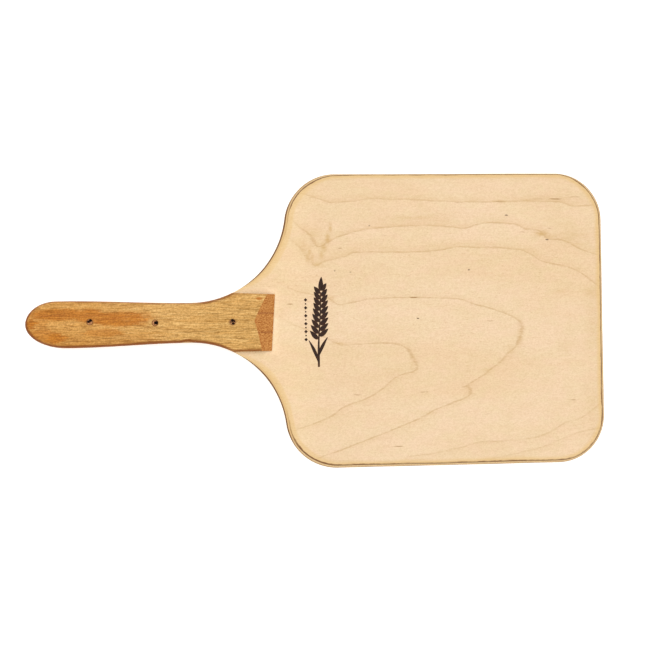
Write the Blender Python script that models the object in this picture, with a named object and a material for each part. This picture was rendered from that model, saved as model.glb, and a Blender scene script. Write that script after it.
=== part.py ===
"""Wooden peel: a five-ply board whose tang is the core of the handle, two hardwood handle
scales, and three flat-head screws driven from above.

Board frame, used while modelling: x runs from near the butt of the handle to the front edge,
y across the board, z up from the board's mid-plane. All dimensions below are millimetres.
The finished peel is then laid down as it rests: on the lower scale and the front edge.
"""

import math

import bmesh
import bpy
import numpy as np
from mathutils import Matrix

for old in list(bpy.data.objects):
    bpy.data.objects.remove(old, do_unlink=True)

MM = 0.001

# Board outline
BOARD_LENGTH = 600.5
BLADE_HALF_WIDTH = 152.4
FRONT_CORNER_R = 49.7
REAR_CORNER_R = 53.7
NECK_R = {1: 98.8, -1: 97.4}
WAIST_X = 167.2
WAIST_HALF_WIDTH = {1: 20.2, -1: 20.5}

# Butt of the handle, rounded by hand: the +y side turns in later than the -y side
BUTT_TIP = 1.85
BUTT_HALF_WIDTH = {1: 23.5, -1: 24.2}
BUTT_END = {1: 32.0, -1: 43.0}
BUTT_SWELL = {1: 0.010, -1: 0.004}

# Plywood
PLIES = 5
PLY = 1.12
GLUE = 0.2
BOARD_HALF = (PLIES * PLY + (PLIES - 1) * GLUE) / 2

# Edge rounding, sanded by hand: (reach in from the outline, power of its curve). A power of 2
# is an ellipse and a lower one is nearer a bevel.
ROUND_FRONT = (8.0, 1.7)
ROUND_REAR = (7.6, 1.5)
ROUND_SIDE = {1: (5.8, 2.1), -1: (7.3, 1.55)}
ROUNDING_STARTS, ROUNDING_FULL = 209.0, 246.0
# The underside's front edge is eased further in towards the corners: this much 100 mm from the
# middle. The front edge is drawn in this many steps to each side.
FRONT_EASED_UNDER = 0.8
FRONT_STEPS = 6

# Handle scales
SCALE_BASE = BOARD_HALF + GLUE
SCALE_RISE = 11.8
SCALE_CROWN = 5.6
CROWN_WIDTH = 30.0
CROWN_POWER = 1.6
SCALE_EDGE_R = 4.2
BUTT_EDGE_R = 5.6
HEAD_EDGE_R = 0.9
SCALE_END_X = 252.2
SCALE_END_SKEW = 0.069
SCALE_HEAD_HALF = {1: (29.9, 28.1), -1: (30.6, 30.1)}
SCALE_HEAD_X = 212.0
RAMP_LENGTH = 20.0
RAMP_SHORTENS = {1: 12.0, -1: 9.6}
RAMP_TOE = 0.8

# Screws: number 4 flat heads, one inch long
SCREW_PLACES = {
    "screw_butt": (66.5, 2.0, 25.0),
    "screw_middle": (131.9, 0.1, 68.0),
    "screw_front": (210.1, 0.0, -32.0),
}
SCREW_LENGTH = 25.4
HEAD_R, HEAD_RIM, HEAD_CONE = 2.85, 0.25, 1.7
SHANK_R, THREAD_R, ROOT_R = 1.25, 1.42, 0.98
THREAD_PITCH = 1.4
THREAD_LENGTH = 16.0
POINT_LENGTH = 3.4
HEAD_SUNK = 0.6
FIT = 0.3
HOLE_R = THREAD_R + FIT


def smooth_step(low, high, x):
    t = min(max((x - low) / (high - low), 0.0), 1.0)
    return t * t * (3 - 2 * t)


def handle_half_width(x, side):
    """Half width of the handle from the butt to the waist, on one side of the centre line."""
    end, butt = BUTT_END[side], BUTT_HALF_WIDTH[side]
    if x < end:
        return butt * math.sqrt(max(0.0, 1 - ((end - x) / (end - BUTT_TIP)) ** 2))
    span = WAIST_X - end
    t = (x - end) / span
    return (
        butt * (1 + t * t * (2 * t - 3))
        + WAIST_HALF_WIDTH[side] * t * t * (3 - 2 * t)
        + BUTT_SWELL[side] * span * t * (1 - t) ** 2
    )


def neck_centres(side):
    """Centre of the hollow neck arc and of the blade's rear corner, which touch."""
    neck = (WAIST_X, WAIST_HALF_WIDTH[side] + NECK_R[side])
    corner_y = BLADE_HALF_WIDTH - REAR_CORNER_R
    reach = math.sqrt((NECK_R[side] + REAR_CORNER_R) ** 2 - (corner_y - neck[1]) ** 2)
    return neck, (WAIST_X + reach, corner_y)


def board_half_width(x, side):
    if x <= WAIST_X:
        return handle_half_width(x, side)
    neck, _ = neck_centres(side)
    return neck[1] - math.sqrt(NECK_R[side] ** 2 - (x - neck[0]) ** 2)


def half_outline(side):
    """Outline of one half, from the butt's tip nearly to the middle of the front edge, y outwards."""
    points = []
    for i in range(11):
        x = BUTT_TIP + (BUTT_END[side] - BUTT_TIP) * (1 - math.cos(math.pi / 2 * i / 10))
        points.append((x, handle_half_width(x, side)))
    for i in range(1, 7):
        x = BUTT_END[side] + (WAIST_X - BUTT_END[side]) * i / 7
        points.append((x, handle_half_width(x, side)))
    neck, corner = neck_centres(side)
    turn = math.atan2(corner[1] - neck[1], corner[0] - neck[0])
    for i in range(10):
        a = -math.pi / 2 + (turn + math.pi / 2) * i / 9
        points.append((neck[0] + NECK_R[side] * math.cos(a), neck[1] + NECK_R[side] * math.sin(a)))
    for i in range(1, 12):
        a = turn + math.pi + (math.pi / 2 - turn - math.pi) * i / 11
        points.append(
            (corner[0] + REAR_CORNER_R * math.cos(a), corner[1] + REAR_CORNER_R * math.sin(a))
        )
    for i in range(10):
        a = math.pi / 2 * (1 - i / 9)
        points.append(
            (
                BOARD_LENGTH - FRONT_CORNER_R * (1 - math.cos(a)),
                BLADE_HALF_WIDTH - FRONT_CORNER_R * (1 - math.sin(a)),
            )
        )
    straight = points[-1][1]
    return points + [(BOARD_LENGTH, straight * (1 - i / FRONT_STEPS)) for i in range(1, FRONT_STEPS)]


def board_outline():
    """Closed outline, anticlockwise seen from above, starting at the butt's tip."""
    lower = [(x, -y) for x, y in half_outline(-1)]
    upper = half_outline(1)
    return np.array(lower + [(BOARD_LENGTH, 0.0)] + upper[:0:-1])


def outward_normals(outline):
    along = np.roll(outline, -1, axis=0) - np.roll(outline, 1, axis=0)
    normals = np.column_stack([along[:, 1], -along[:, 0]])
    return normals / np.linalg.norm(normals, axis=1)[:, None]


def between(a, b, share):
    return tuple(p + (q - p) * share for p, q in zip(a, b))


OUTLINE = board_outline()
NORMALS = outward_normals(OUTLINE)


def edge_inset(x, y, z):
    """How far the rounded edge lies inside the outline at a height z: not at all under the scales."""
    shape = between(ROUND_SIDE[-1], ROUND_SIDE[1], smooth_step(-70, 70, y))
    shape = between(ROUND_REAR, shape, smooth_step(292, 345, x))
    to_front = smooth_step(548, 592, x)
    reach, power = between(shape, ROUND_FRONT, to_front)
    if z < 0:
        reach += FRONT_EASED_UNDER * (y / 100) ** 2 * to_front
    inwards = 1 - max(0.0, 1 - abs(z / BOARD_HALF) ** power) ** (1 / power)
    return reach * inwards * smooth_step(ROUNDING_STARTS, ROUNDING_FULL, x)


def board_ring(z):
    """The board's outline at a height z."""
    plan = OUTLINE - NORMALS * np.array([[edge_inset(x, y, z)] for x, y in OUTLINE])
    return np.column_stack([plan, np.full(len(plan), z)])


def ply_levels(low, high):
    """Heights of a ply's rings: closer together where the rounded edge curves most."""
    if high > BOARD_HALF - 1e-6:
        return [low] + [BOARD_HALF * math.sin(a) for a in np.linspace(math.asin(low / BOARD_HALF), math.pi / 2, 5)[1:]]
    if low < -BOARD_HALF + 1e-6:
        return [-z for z in ply_levels(-high, -low)[::-1]]
    return [low, 0.0, high] if low < 0 < high else [low, high]


def stacked_rings(bm, rings):
    """Closed body from equal rings, lowest first, each anticlockwise seen from above."""
    made = [[bm.verts.new(p * MM) for p in ring] for ring in rings]
    for lower, upper in zip(made, made[1:]):
        count = len(lower)
        for i in range(count):
            j = (i + 1) % count
            bm.faces.new((lower[i], lower[j], upper[j], upper[i]))
    bm.faces.new(made[-1])
    bm.faces.new(made[0][::-1])


def scale_half_width(x, side):
    if x <= SCALE_HEAD_X - 12:
        return board_half_width(x, side)
    start, end = SCALE_HEAD_HALF[side]
    straight = start + (end - start) * (x - SCALE_HEAD_X) / (SCALE_END_X - SCALE_HEAD_X)
    return min(board_half_width(min(x, WAIST_X + NECK_R[side] * 0.9), side), straight)


def crown(y):
    """Height of the crowned top above the scale's base, away from its edges."""
    return SCALE_RISE - SCALE_CROWN * (abs(y) / CROWN_WIDTH) ** CROWN_POWER


def distance_to_outline(x, y):
    start = OUTLINE
    step = np.roll(OUTLINE, -1, axis=0) - start
    t = np.clip(((np.array([x, y]) - start) * step).sum(1) / (step**2).sum(1), 0, 1)
    return float(np.linalg.norm(start + step * t[:, None] - [x, y], axis=1).min())


def eased(distance, radius):
    """Drop of a quarter-round edge at a distance in from the edge."""
    inside = max(0.0, radius - distance)
    return radius - math.sqrt(radius * radius - inside * inside)


def scale_height(x, y, half_width):
    to_head = smooth_step(SCALE_HEAD_X - 16, SCALE_HEAD_X + 4, x)
    to_butt = 1 - smooth_step(12, 55, x)
    radius = SCALE_EDGE_R + (BUTT_EDGE_R - SCALE_EDGE_R) * to_butt
    by_outline = eased(distance_to_outline(x, y), radius) * (1 - to_head)
    by_side = eased(half_width - abs(y), HEAD_EDGE_R) * to_head
    return crown(y) - by_outline - by_side


ACROSS = [-1.0, -0.955, -0.88, -0.74, -0.5, -0.2, 0.2, 0.5, 0.74, 0.88, 0.955, 1.0]


def scale_lattice():
    """Stations along the scale, each a list of (x, y, height above the base)."""
    butt = [(1 - math.cos(math.pi / 2 * i / 9)) for i in range(1, 10)]
    even = [55, 72, 90, 108, 126, 144, 160, 176, 190, 200, 206, SCALE_HEAD_X]
    stations = []
    for share in butt:
        row = []
        for v in ACROSS:
            side = 1 if v > 0 else -1
            end = BUTT_END[1] * (1 - abs(v)) + BUTT_END[side] * abs(v)
            x = BUTT_TIP + (end - BUTT_TIP) * share
            half = handle_half_width(x, side)
            # Near the tip the two sides curve at different rates, so the row bends with them.
            row.append((x, v * half, scale_height(x, v * half, half)))
        stations.append(row)
    for x in even:
        row = []
        for v in ACROSS:
            side = 1 if v > 0 else -1
            half = scale_half_width(x, side)
            row.append((x, v * half, scale_height(x, v * half, half)))
        stations.append(row)
    ramp_top, ramp_foot = [], []
    for v in ACROSS:
        side = 1 if v > 0 else -1
        foot_y = v * scale_half_width(SCALE_END_X, side)
        foot_x = SCALE_END_X + SCALE_END_SKEW * foot_y
        top_x = foot_x - RAMP_LENGTH + RAMP_SHORTENS[side] * abs(v) ** 0.85
        half = scale_half_width(top_x, side)
        ramp_top.append((top_x, v * half, scale_height(top_x, v * half, half)))
        ramp_foot.append((foot_x, foot_y, RAMP_TOE))
    return stations + [ramp_top, ramp_foot]


def scale_body(bm):
    """The upper scale in the board frame, its flat underside on the board's face."""
    rows = [
        [bm.verts.new((x * MM, y * MM, (SCALE_BASE + h) * MM)) for x, y, h in row]
        for row in scale_lattice()
    ]
    tip = bm.verts.new((BUTT_TIP * MM, 0.0, (SCALE_BASE + scale_height(BUTT_TIP, 0.0, 1.0)) * MM))
    for a, b in zip(rows, rows[1:]):
        for i in range(len(a) - 1):
            bm.faces.new((a[i], b[i], b[i + 1], a[i + 1]))
    first = rows[0]
    for i in range(len(first) - 1):
        bm.faces.new((tip, first[i], first[i + 1]))
    rim = [tip] + [row[0] for row in rows]
    rim += rows[-1][1:]
    rim += [row[-1] for row in rows[-2::-1]]
    under = [bm.verts.new((v.co.x, v.co.y, SCALE_BASE * MM)) for v in rim]
    count = len(rim)
    for i in range(count):
        j = (i + 1) % count
        bm.faces.new((under[i], under[j], rim[j], rim[i]))
    bm.faces.new(under[::-1])


def turned(bm, profile, sides, place=(0.0, 0.0)):
    """Closed turned body from (radius, z) pairs, lowest first. A zero radius is a point."""
    rings = []
    for r, z in profile:
        if r <= 0:
            rings.append([bm.verts.new((place[0] * MM, place[1] * MM, z * MM))])
            continue
        rings.append(
            [
                bm.verts.new(
                    (
                        (place[0] + r * math.cos(2 * math.pi * i / sides)) * MM,
                        (place[1] + r * math.sin(2 * math.pi * i / sides)) * MM,
                        z * MM,
                    )
                )
                for i in range(sides)
            ]
        )
    for lower, upper in zip(rings, rings[1:]):
        for i in range(sides):
            j = (i + 1) % sides
            if len(lower) == 1:
                bm.faces.new((lower[0], upper[j], upper[i]))
            elif len(upper) == 1:
                bm.faces.new((lower[i], lower[j], upper[0]))
            else:
                bm.faces.new((lower[i], lower[j], upper[j], upper[i]))
    if len(rings[-1]) > 1:
        bm.faces.new(rings[-1])
    if len(rings[0]) > 1:
        bm.faces.new(rings[0][::-1])


def thread_radius(angle, z):
    """Radius of the threaded stretch: one ridge that climbs a pitch each turn."""
    from_point = z + SCREW_LENGTH
    ridge = 1 - 2.6 * abs(((z / THREAD_PITCH - angle / (2 * math.pi)) % 1.0) - 0.5)
    start = smooth_step(0.0, POINT_LENGTH, from_point)
    end = 1 - smooth_step(THREAD_LENGTH - 1.5, THREAD_LENGTH, from_point)
    core = ROOT_R * min(1.0, 0.12 + 0.88 * from_point / POINT_LENGTH)
    core += (SHANK_R - ROOT_R) * (1 - end)
    return core + (THREAD_R - ROOT_R) * max(0.0, ridge) * min(start * 1.6, 1.0) * end


def screw_body(bm):
    """Screw with its axis on z and the top of its head at z = 0."""
    sides = 14
    levels = int(THREAD_LENGTH / (THREAD_PITCH / 4))
    grid = []
    for k in range(1, levels + 1):
        z = -SCREW_LENGTH + THREAD_LENGTH * k / levels
        grid.append(
            [
                bm.verts.new(
                    (
                        thread_radius(2 * math.pi * i / sides, z) * math.cos(2 * math.pi * i / sides) * MM,
                        thread_radius(2 * math.pi * i / sides, z) * math.sin(2 * math.pi * i / sides) * MM,
                        z * MM,
                    )
                )
                for i in range(sides)
            ]
        )
    for r, z in ((SHANK_R, -HEAD_RIM - HEAD_CONE), (HEAD_R, -HEAD_RIM), (HEAD_R, 0.0)):
        grid.append(
            [
                bm.verts.new(
                    (r * math.cos(2 * math.pi * i / sides) * MM, r * math.sin(2 * math.pi * i / sides) * MM, z * MM)
                )
                for i in range(sides)
            ]
        )
    point = bm.verts.new((0, 0, -SCREW_LENGTH * MM))
    for i in range(sides):
        j = (i + 1) % sides
        bm.faces.new((point, grid[0][j], grid[0][i]))
        for lower, upper in zip(grid, grid[1:]):
            bm.faces.new((lower[i], lower[j], upper[j], upper[i]))
    bm.faces.new(grid[-1])


def cross_recess(bm):
    """Tapered cross that cuts the driver recess into a head at z = 0."""
    rings = []
    for arm, half, z in ((0.50, 0.22, -1.35), (1.75, 0.42, 0.6)):
        corner = [(half, half), (half, arm), (-half, arm), (-half, half)]
        ring = []
        for q in range(4):
            c, s = math.cos(math.pi / 2 * q), math.sin(math.pi / 2 * q)
            for x, y in corner[:3]:
                ring.append(np.array([x * c - y * s, x * s + y * c, z]))
        rings.append(np.array(ring))
    stacked_rings(bm, rings)


def material(name, colour, roughness, metallic=0.0):
    made = bpy.data.materials.new(name)
    made.use_nodes = True
    shader = made.node_tree.nodes["Principled BSDF"]
    shader.inputs["Base Color"].default_value = (*colour, 1.0)
    shader.inputs["Roughness"].default_value = roughness
    shader.inputs["Metallic"].default_value = metallic
    return made


peel = bpy.data.objects.new("peel", None)
bpy.context.scene.collection.objects.link(peel)


def object_from(name, build, paint=None, smooth_angle=30.0):
    bm = bmesh.new()
    build(bm)
    bmesh.ops.recalc_face_normals(bm, faces=bm.faces)
    mesh = bpy.data.meshes.new(name)
    bm.to_mesh(mesh)
    bm.free()
    mesh.shade_smooth()
    mesh.set_sharp_from_angle(angle=math.radians(smooth_angle))
    if paint:
        mesh.materials.append(paint)
    made = bpy.data.objects.new(name, mesh)
    bpy.context.scene.collection.objects.link(made)
    made.parent = peel
    return made


def cutter_from(name, build):
    made = object_from(name, build)
    made.hide_render = True
    made.display_type = "WIRE"
    return made


def cut(target, cutter):
    modifier = target.modifiers.new("cut_" + cutter.name, "BOOLEAN")
    modifier.operation = "DIFFERENCE"
    modifier.solver = "EXACT"
    modifier.object = cutter


VENEER = material("maple_veneer", (0.90, 0.73, 0.49), 0.55)
CROSSBAND = material("crossband_veneer", (0.80, 0.63, 0.42), 0.65)
CORE = material("core_veneer", (0.84, 0.67, 0.45), 0.65)
HARDWOOD = material("handle_hardwood", (0.62, 0.36, 0.14), 0.5)
STEEL = material("screw_steel", (0.55, 0.53, 0.52), 0.35, 1.0)


def tang_holes(bm):
    for x, y, _ in SCREW_PLACES.values():
        turned(bm, [(HOLE_R, -BOARD_HALF - 1), (HOLE_R, BOARD_HALF + 1)], 16, (x, y))


def countersunk_holes(bm):
    """Clearance holes with the head's seat, open at the crowned top."""
    top = SCALE_BASE + SCALE_RISE - HEAD_SUNK
    for x, y, _ in SCREW_PLACES.values():
        turned(
            bm,
            [
                (HOLE_R, SCALE_BASE - 1),
                (HOLE_R, top - HEAD_RIM - HEAD_CONE + (HOLE_R - SHANK_R - FIT)),
                (HEAD_R + FIT, top - HEAD_RIM - 0.1),
                (HEAD_R + FIT, top + 3),
            ],
            16,
            (x, y),
        )


def pilot_holes(bm):
    """Blind holes in the lower scale, a little deeper than the screws' points."""
    bottom = SCALE_BASE + SCALE_RISE - HEAD_SUNK - SCREW_LENGTH - 0.6
    for x, y, _ in SCREW_PLACES.values():
        turned(
            bm,
            [(0.0, bottom), (HOLE_R, bottom + POINT_LENGTH * 0.5), (HOLE_R, -SCALE_BASE + 1)],
            16,
            (x, y),
        )


through_tang = cutter_from("tang_hole_cutter", tang_holes)
through_upper_scale = cutter_from("countersink_cutter", countersunk_holes)
into_lower_scale = cutter_from("pilot_hole_cutter", pilot_holes)

names = ("back_veneer", "lower_crossband", "core_ply", "upper_crossband", "face_veneer")
paints = (VENEER, CROSSBAND, CORE, CROSSBAND, VENEER)
plies = []
for index, (name, paint) in enumerate(zip(names, paints)):
    low = -BOARD_HALF + index * (PLY + GLUE)
    levels = ply_levels(low, low + PLY)
    ply = object_from(name, lambda bm: stacked_rings(bm, [board_ring(z) for z in levels]), paint)
    cut(ply, through_tang)
    plies.append(ply)

upper_scale = object_from("handle_upper_scale", scale_body, HARDWOOD, 24.0)


def lower_scale_body(bm):
    scale_body(bm)
    bmesh.ops.transform(bm, matrix=Matrix.Diagonal((1, 1, -1, 1)), verts=bm.verts)
    bmesh.ops.reverse_faces(bm, faces=bm.faces)


lower_scale = object_from("handle_lower_scale", lower_scale_body, HARDWOOD, 24.0)
cut(upper_scale, through_upper_scale)
cut(lower_scale, into_lower_scale)

blank = object_from("screw_blank", screw_body, STEEL, 40.0)
recess = cutter_from("recess_cutter", cross_recess)
cut(blank, recess)
bpy.context.view_layer.update()
graph = bpy.context.evaluated_depsgraph_get()
screw_mesh = bpy.data.meshes.new_from_object(blank.evaluated_get(graph))
screw_mesh.name = "flat_head_screw"
for helper in (blank, recess):
    bpy.data.objects.remove(helper, do_unlink=True)
for name, (x, y, turn) in SCREW_PLACES.items():
    screw = bpy.data.objects.new(name, screw_mesh)
    bpy.context.scene.collection.objects.link(screw)
    screw.parent = peel
    screw.location = (x * MM, y * MM, (SCALE_BASE + SCALE_RISE - HEAD_SUNK) * MM)
    screw.rotation_euler = (0, 0, math.radians(turn))


def points_of(made):
    return np.array([made.matrix_basis @ v.co for v in made.data.vertices], dtype=float)


def lowest(points, angle):
    return float((points[:, 2] * math.cos(angle) - points[:, 0] * math.sin(angle)).min())


# The peel rests on two places, so it is turned about y until both are at one height.
back_points, scale_points = points_of(plies[0]), points_of(lower_scale)
low_angle, high_angle = 0.0, math.radians(10)
for _ in range(60):
    rest_angle = (low_angle + high_angle) / 2
    if lowest(scale_points, rest_angle) < lowest(back_points, rest_angle):
        low_angle = rest_angle
    else:
        high_angle = rest_angle

every = np.concatenate([points_of(made) for made in plies + [upper_scale, lower_scale]])
turn = np.array(Matrix.Rotation(rest_angle, 3, "Y"))
turned_points = every @ turn.T
low_corner, high_corner = turned_points.min(axis=0), turned_points.max(axis=0)
peel.rotation_euler = (0, rest_angle, 0)
peel.location = (
    -(low_corner[0] + high_corner[0]) / 2,
    -(low_corner[1] + high_corner[1]) / 2,
    -low_corner[2],
)
bpy.context.view_layer.update()
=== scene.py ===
"""Looks of the wooden peel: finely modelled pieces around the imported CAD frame.

Board frame, used while modelling, in millimetres: x runs from the butt of the handle (0) to
the front edge, y across the board, z up from the board's mid-plane. TO_ROW takes it to the
row frame, where the peel rests on its lower scale and its front edge.
"""

import math

import bmesh
import bpy
import numpy as np
from mathutils import Matrix, Vector
from mathutils.geometry import delaunay_2d_cdt


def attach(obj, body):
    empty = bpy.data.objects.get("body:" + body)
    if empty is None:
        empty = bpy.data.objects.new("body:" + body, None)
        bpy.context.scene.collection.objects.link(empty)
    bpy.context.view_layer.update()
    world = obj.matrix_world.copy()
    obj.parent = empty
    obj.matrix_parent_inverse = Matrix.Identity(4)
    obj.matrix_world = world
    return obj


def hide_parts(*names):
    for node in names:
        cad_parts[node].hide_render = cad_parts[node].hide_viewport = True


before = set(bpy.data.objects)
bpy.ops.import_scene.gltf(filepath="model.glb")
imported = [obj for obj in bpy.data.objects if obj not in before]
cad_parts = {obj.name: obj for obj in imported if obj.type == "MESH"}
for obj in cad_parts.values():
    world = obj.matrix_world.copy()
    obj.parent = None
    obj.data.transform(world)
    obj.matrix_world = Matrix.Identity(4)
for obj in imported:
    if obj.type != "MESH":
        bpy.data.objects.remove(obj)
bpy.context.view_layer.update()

MM = 0.001

# Board outline
BOARD_LENGTH = 600.5
BLADE_HALF_WIDTH = 152.4
FRONT_CORNER_R = 49.7
REAR_CORNER_R = 53.7
NECK_R = {1: 98.8, -1: 97.4}
WAIST_X = 167.2
WAIST_HALF_WIDTH = {1: 20.2, -1: 20.5}
BUTT_TIP = 1.85
BUTT_HALF_WIDTH = {1: 23.5, -1: 24.2}
BUTT_END = {1: 32.0, -1: 43.0}
BUTT_SWELL = {1: 0.010, -1: 0.004}

# Plywood
PLY = 1.12
GLUE = 0.2
BOARD_HALF = 3.2
ROUND_FRONT = (8.0, 1.7)
ROUND_REAR = (7.6, 1.5)
ROUND_SIDE = {1: (5.8, 2.1), -1: (7.3, 1.55)}
ROUNDING_STARTS, ROUNDING_FULL = 209.0, 246.0

# Handle scales
SCALE_BASE = BOARD_HALF + GLUE
SCALE_RISE = 11.8
SCALE_CROWN = 5.6
CROWN_WIDTH = 30.0
CROWN_POWER = 1.6
SCALE_EDGE_R = 4.2
BUTT_EDGE_R = 5.6
HEAD_EDGE_R = 0.9
SCALE_END_X = 252.2
SCALE_END_SKEW = 0.069
SCALE_HEAD_HALF = {1: (29.9, 28.1), -1: (30.6, 30.1)}
SCALE_HEAD_X = 212.0
RAMP_LENGTH = 20.0
RAMP_SHORTENS = {1: 12.0, -1: 9.6}
RAMP_BOW = {1: 1.22, -1: 0.82}
RAMP_TOE = 0.8

# Screws
SCREW_PLACES = {
    "screw_butt": (66.5, 2.0, 25.0),
    "screw_middle": (131.9, 0.1, 68.0),
    "screw_front": (210.1, 0.0, -32.0),
}
SCREW_LENGTH = 25.4
HEAD_R, HEAD_RIM, HEAD_CONE = 2.85, 0.25, 1.7
SHANK_R, THREAD_R, ROOT_R = 1.25, 1.42, 0.98
THREAD_PITCH = 1.4
THREAD_LENGTH = 16.0
POINT_LENGTH = 3.4
HEAD_SUNK = 0.6
FIT = 0.3
HOLE_R = THREAD_R + FIT
HEAD_TOP = SCALE_BASE + SCALE_RISE - HEAD_SUNK

# How the board lies in the row frame
REST_ANGLE = 0.032493532223831625
DATUM = (-0.30086007714271545, 0.0, 0.0224473774433136)
TO_ROW = Matrix.Translation(DATUM) @ Matrix.Rotation(REST_ANGLE, 4, "Y")


# ---------------------------------------------------------------- outline and rounded edge


def smooth_step(low, high, x):
    t = np.clip((np.asarray(x, float) - low) / (high - low), 0.0, 1.0)
    return t * t * (3 - 2 * t)


def handle_half_width(x, side):
    end, butt = BUTT_END[side], BUTT_HALF_WIDTH[side]
    if x < end:
        return butt * math.sqrt(max(0.0, 1 - ((end - x) / (end - BUTT_TIP)) ** 2))
    span = WAIST_X - end
    t = (x - end) / span
    return (
        butt * (1 + t * t * (2 * t - 3))
        + WAIST_HALF_WIDTH[side] * t * t * (3 - 2 * t)
        + BUTT_SWELL[side] * span * t * (1 - t) ** 2
    )


def neck_centres(side):
    neck = (WAIST_X, WAIST_HALF_WIDTH[side] + NECK_R[side])
    corner_y = BLADE_HALF_WIDTH - REAR_CORNER_R
    reach = math.sqrt((NECK_R[side] + REAR_CORNER_R) ** 2 - (corner_y - neck[1]) ** 2)
    return neck, (WAIST_X + reach, corner_y)


def board_half_width(x, side):
    if x <= WAIST_X:
        return handle_half_width(x, side)
    neck, _ = neck_centres(side)
    return neck[1] - math.sqrt(NECK_R[side] ** 2 - (x - neck[0]) ** 2)


def half_outline(side):
    """One half of the outline, from the butt's tip to the middle of the front edge."""
    points = []
    for i in range(30):
        x = BUTT_TIP + (BUTT_END[side] - BUTT_TIP) * (1 - math.cos(math.pi / 2 * i / 30))
        points.append((x, handle_half_width(x, side)))
    for i in range(56):
        x = BUTT_END[side] + (WAIST_X - BUTT_END[side]) * i / 56
        points.append((x, handle_half_width(x, side)))
    neck, corner = neck_centres(side)
    turn = math.atan2(corner[1] - neck[1], corner[0] - neck[0])
    for i in range(64):
        a = -math.pi / 2 + (turn + math.pi / 2) * i / 64
        points.append((neck[0] + NECK_R[side] * math.cos(a), neck[1] + NECK_R[side] * math.sin(a)))
    for i in range(60):
        a = turn + math.pi + (math.pi / 2 - turn - math.pi) * i / 60
        points.append(
            (corner[0] + REAR_CORNER_R * math.cos(a), corner[1] + REAR_CORNER_R * math.sin(a))
        )
    front = BOARD_LENGTH - FRONT_CORNER_R
    for i in range(110):
        points.append((corner[0] + (front - corner[0]) * i / 110, BLADE_HALF_WIDTH))
    for i in range(48):
        a = math.pi / 2 * (1 - i / 48)
        points.append(
            (
                front + FRONT_CORNER_R * math.cos(a),
                BLADE_HALF_WIDTH - FRONT_CORNER_R * (1 - math.sin(a)),
            )
        )
    reach = BLADE_HALF_WIDTH - FRONT_CORNER_R
    for i in range(51):
        points.append((BOARD_LENGTH, reach * (1 - i / 50)))
    return points


def board_outline():
    """Closed outline, anticlockwise seen from above, starting at the butt's tip."""
    lower = [(x, -y) for x, y in half_outline(-1)]
    upper = half_outline(1)
    return np.array(lower + upper[-2:0:-1])


OUTLINE = board_outline()
ALONG = np.roll(OUTLINE, -1, axis=0) - np.roll(OUTLINE, 1, axis=0)
NORMALS = np.column_stack([ALONG[:, 1], -ALONG[:, 0]])
NORMALS /= np.linalg.norm(NORMALS, axis=1)[:, None]
TRAVEL = np.concatenate(
    [[0.0], np.cumsum(np.linalg.norm(np.diff(OUTLINE, axis=0), axis=1))]
)
LAP = TRAVEL[-1] + float(np.linalg.norm(OUTLINE[0] - OUTLINE[-1]))


def waver(travel, seed):
    """Slow wandering between -1 and 1 round the closed outline, as from sanding by hand."""
    turn = 2 * math.pi * travel / LAP
    return (
        0.40 * np.sin(9 * turn + seed)
        + 0.30 * np.sin(17 * turn + 2.1 * seed + 1.0)
        + 0.18 * np.sin(31 * turn + 3.7 * seed)
        + 0.12 * np.sin(58 * turn + 5.3 * seed + 2.0)
    )


BLADE_SHARE = smooth_step(ROUNDING_STARTS, ROUNDING_FULL, OUTLINE[:, 0])
TO_TOP_SIDE = smooth_step(-70, 70, OUTLINE[:, 1])
FROM_REAR = smooth_step(292, 345, OUTLINE[:, 0])
TO_FRONT = smooth_step(548, 592, OUTLINE[:, 0])


def edge_shape(index):
    side = ROUND_SIDE[-1][index] + (ROUND_SIDE[1][index] - ROUND_SIDE[-1][index]) * TO_TOP_SIDE
    shape = ROUND_REAR[index] + (side - ROUND_REAR[index]) * FROM_REAR
    return shape + (ROUND_FRONT[index] - shape) * TO_FRONT


REACH = edge_shape(0) * (1 + 0.09 * waver(TRAVEL, 0.4))
POWER = edge_shape(1) * (1 + 0.05 * waver(TRAVEL, 2.9))
TRIM = 0.10 * (1 + waver(TRAVEL, 5.1)) * BLADE_SHARE
# The underside of the front edge is eased further in towards the corners.
REACH_UNDER = REACH + (0.42 + 0.8 * (OUTLINE[:, 1] / 100) ** 2) * TO_FRONT


def inset_at(height):
    """Share of the rounding's reach lost at a height given as a share of the half thickness."""
    return 1 - np.maximum(0.0, 1 - np.abs(height) ** POWER) ** (1 / POWER)


def ring_at(z):
    """The board's edge at one height: plan points and their rounding share."""
    share = inset_at(np.full(len(OUTLINE), z / BOARD_HALF))
    inset = (REACH_UNDER if z < 0 else REACH) * share * BLADE_SHARE + TRIM
    return np.column_stack([OUTLINE - NORMALS * inset[:, None], np.full(len(OUTLINE), z)]), share


def ring_by_share(t, low, reach):
    """A ring a share t of the way from the height low, up the rounding to the flat face."""
    first = inset_at(np.full(len(OUTLINE), low / BOARD_HALF))
    share = first + (1 - first) * t
    z = BOARD_HALF * np.maximum(0.0, 1 - (1 - share) ** POWER) ** (1 / POWER)
    inset = reach * share * BLADE_SHARE + TRIM
    return np.column_stack([OUTLINE - NORMALS * inset[:, None], z]), share


def distance_in(points, loop):
    """Distance from each point to a closed polyline."""
    start, step = loop, np.roll(loop, -1, axis=0) - loop
    size = (step**2).sum(1)
    found = np.empty(len(points))
    for at in range(0, len(points), 2000):
        part = points[at : at + 2000, None, :] - start[None]
        t = np.clip((part * step).sum(2) / size, 0, 1)
        found[at : at + 2000] = np.sqrt(((part - step * t[..., None]) ** 2).sum(2)).min(1)
    return found


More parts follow.
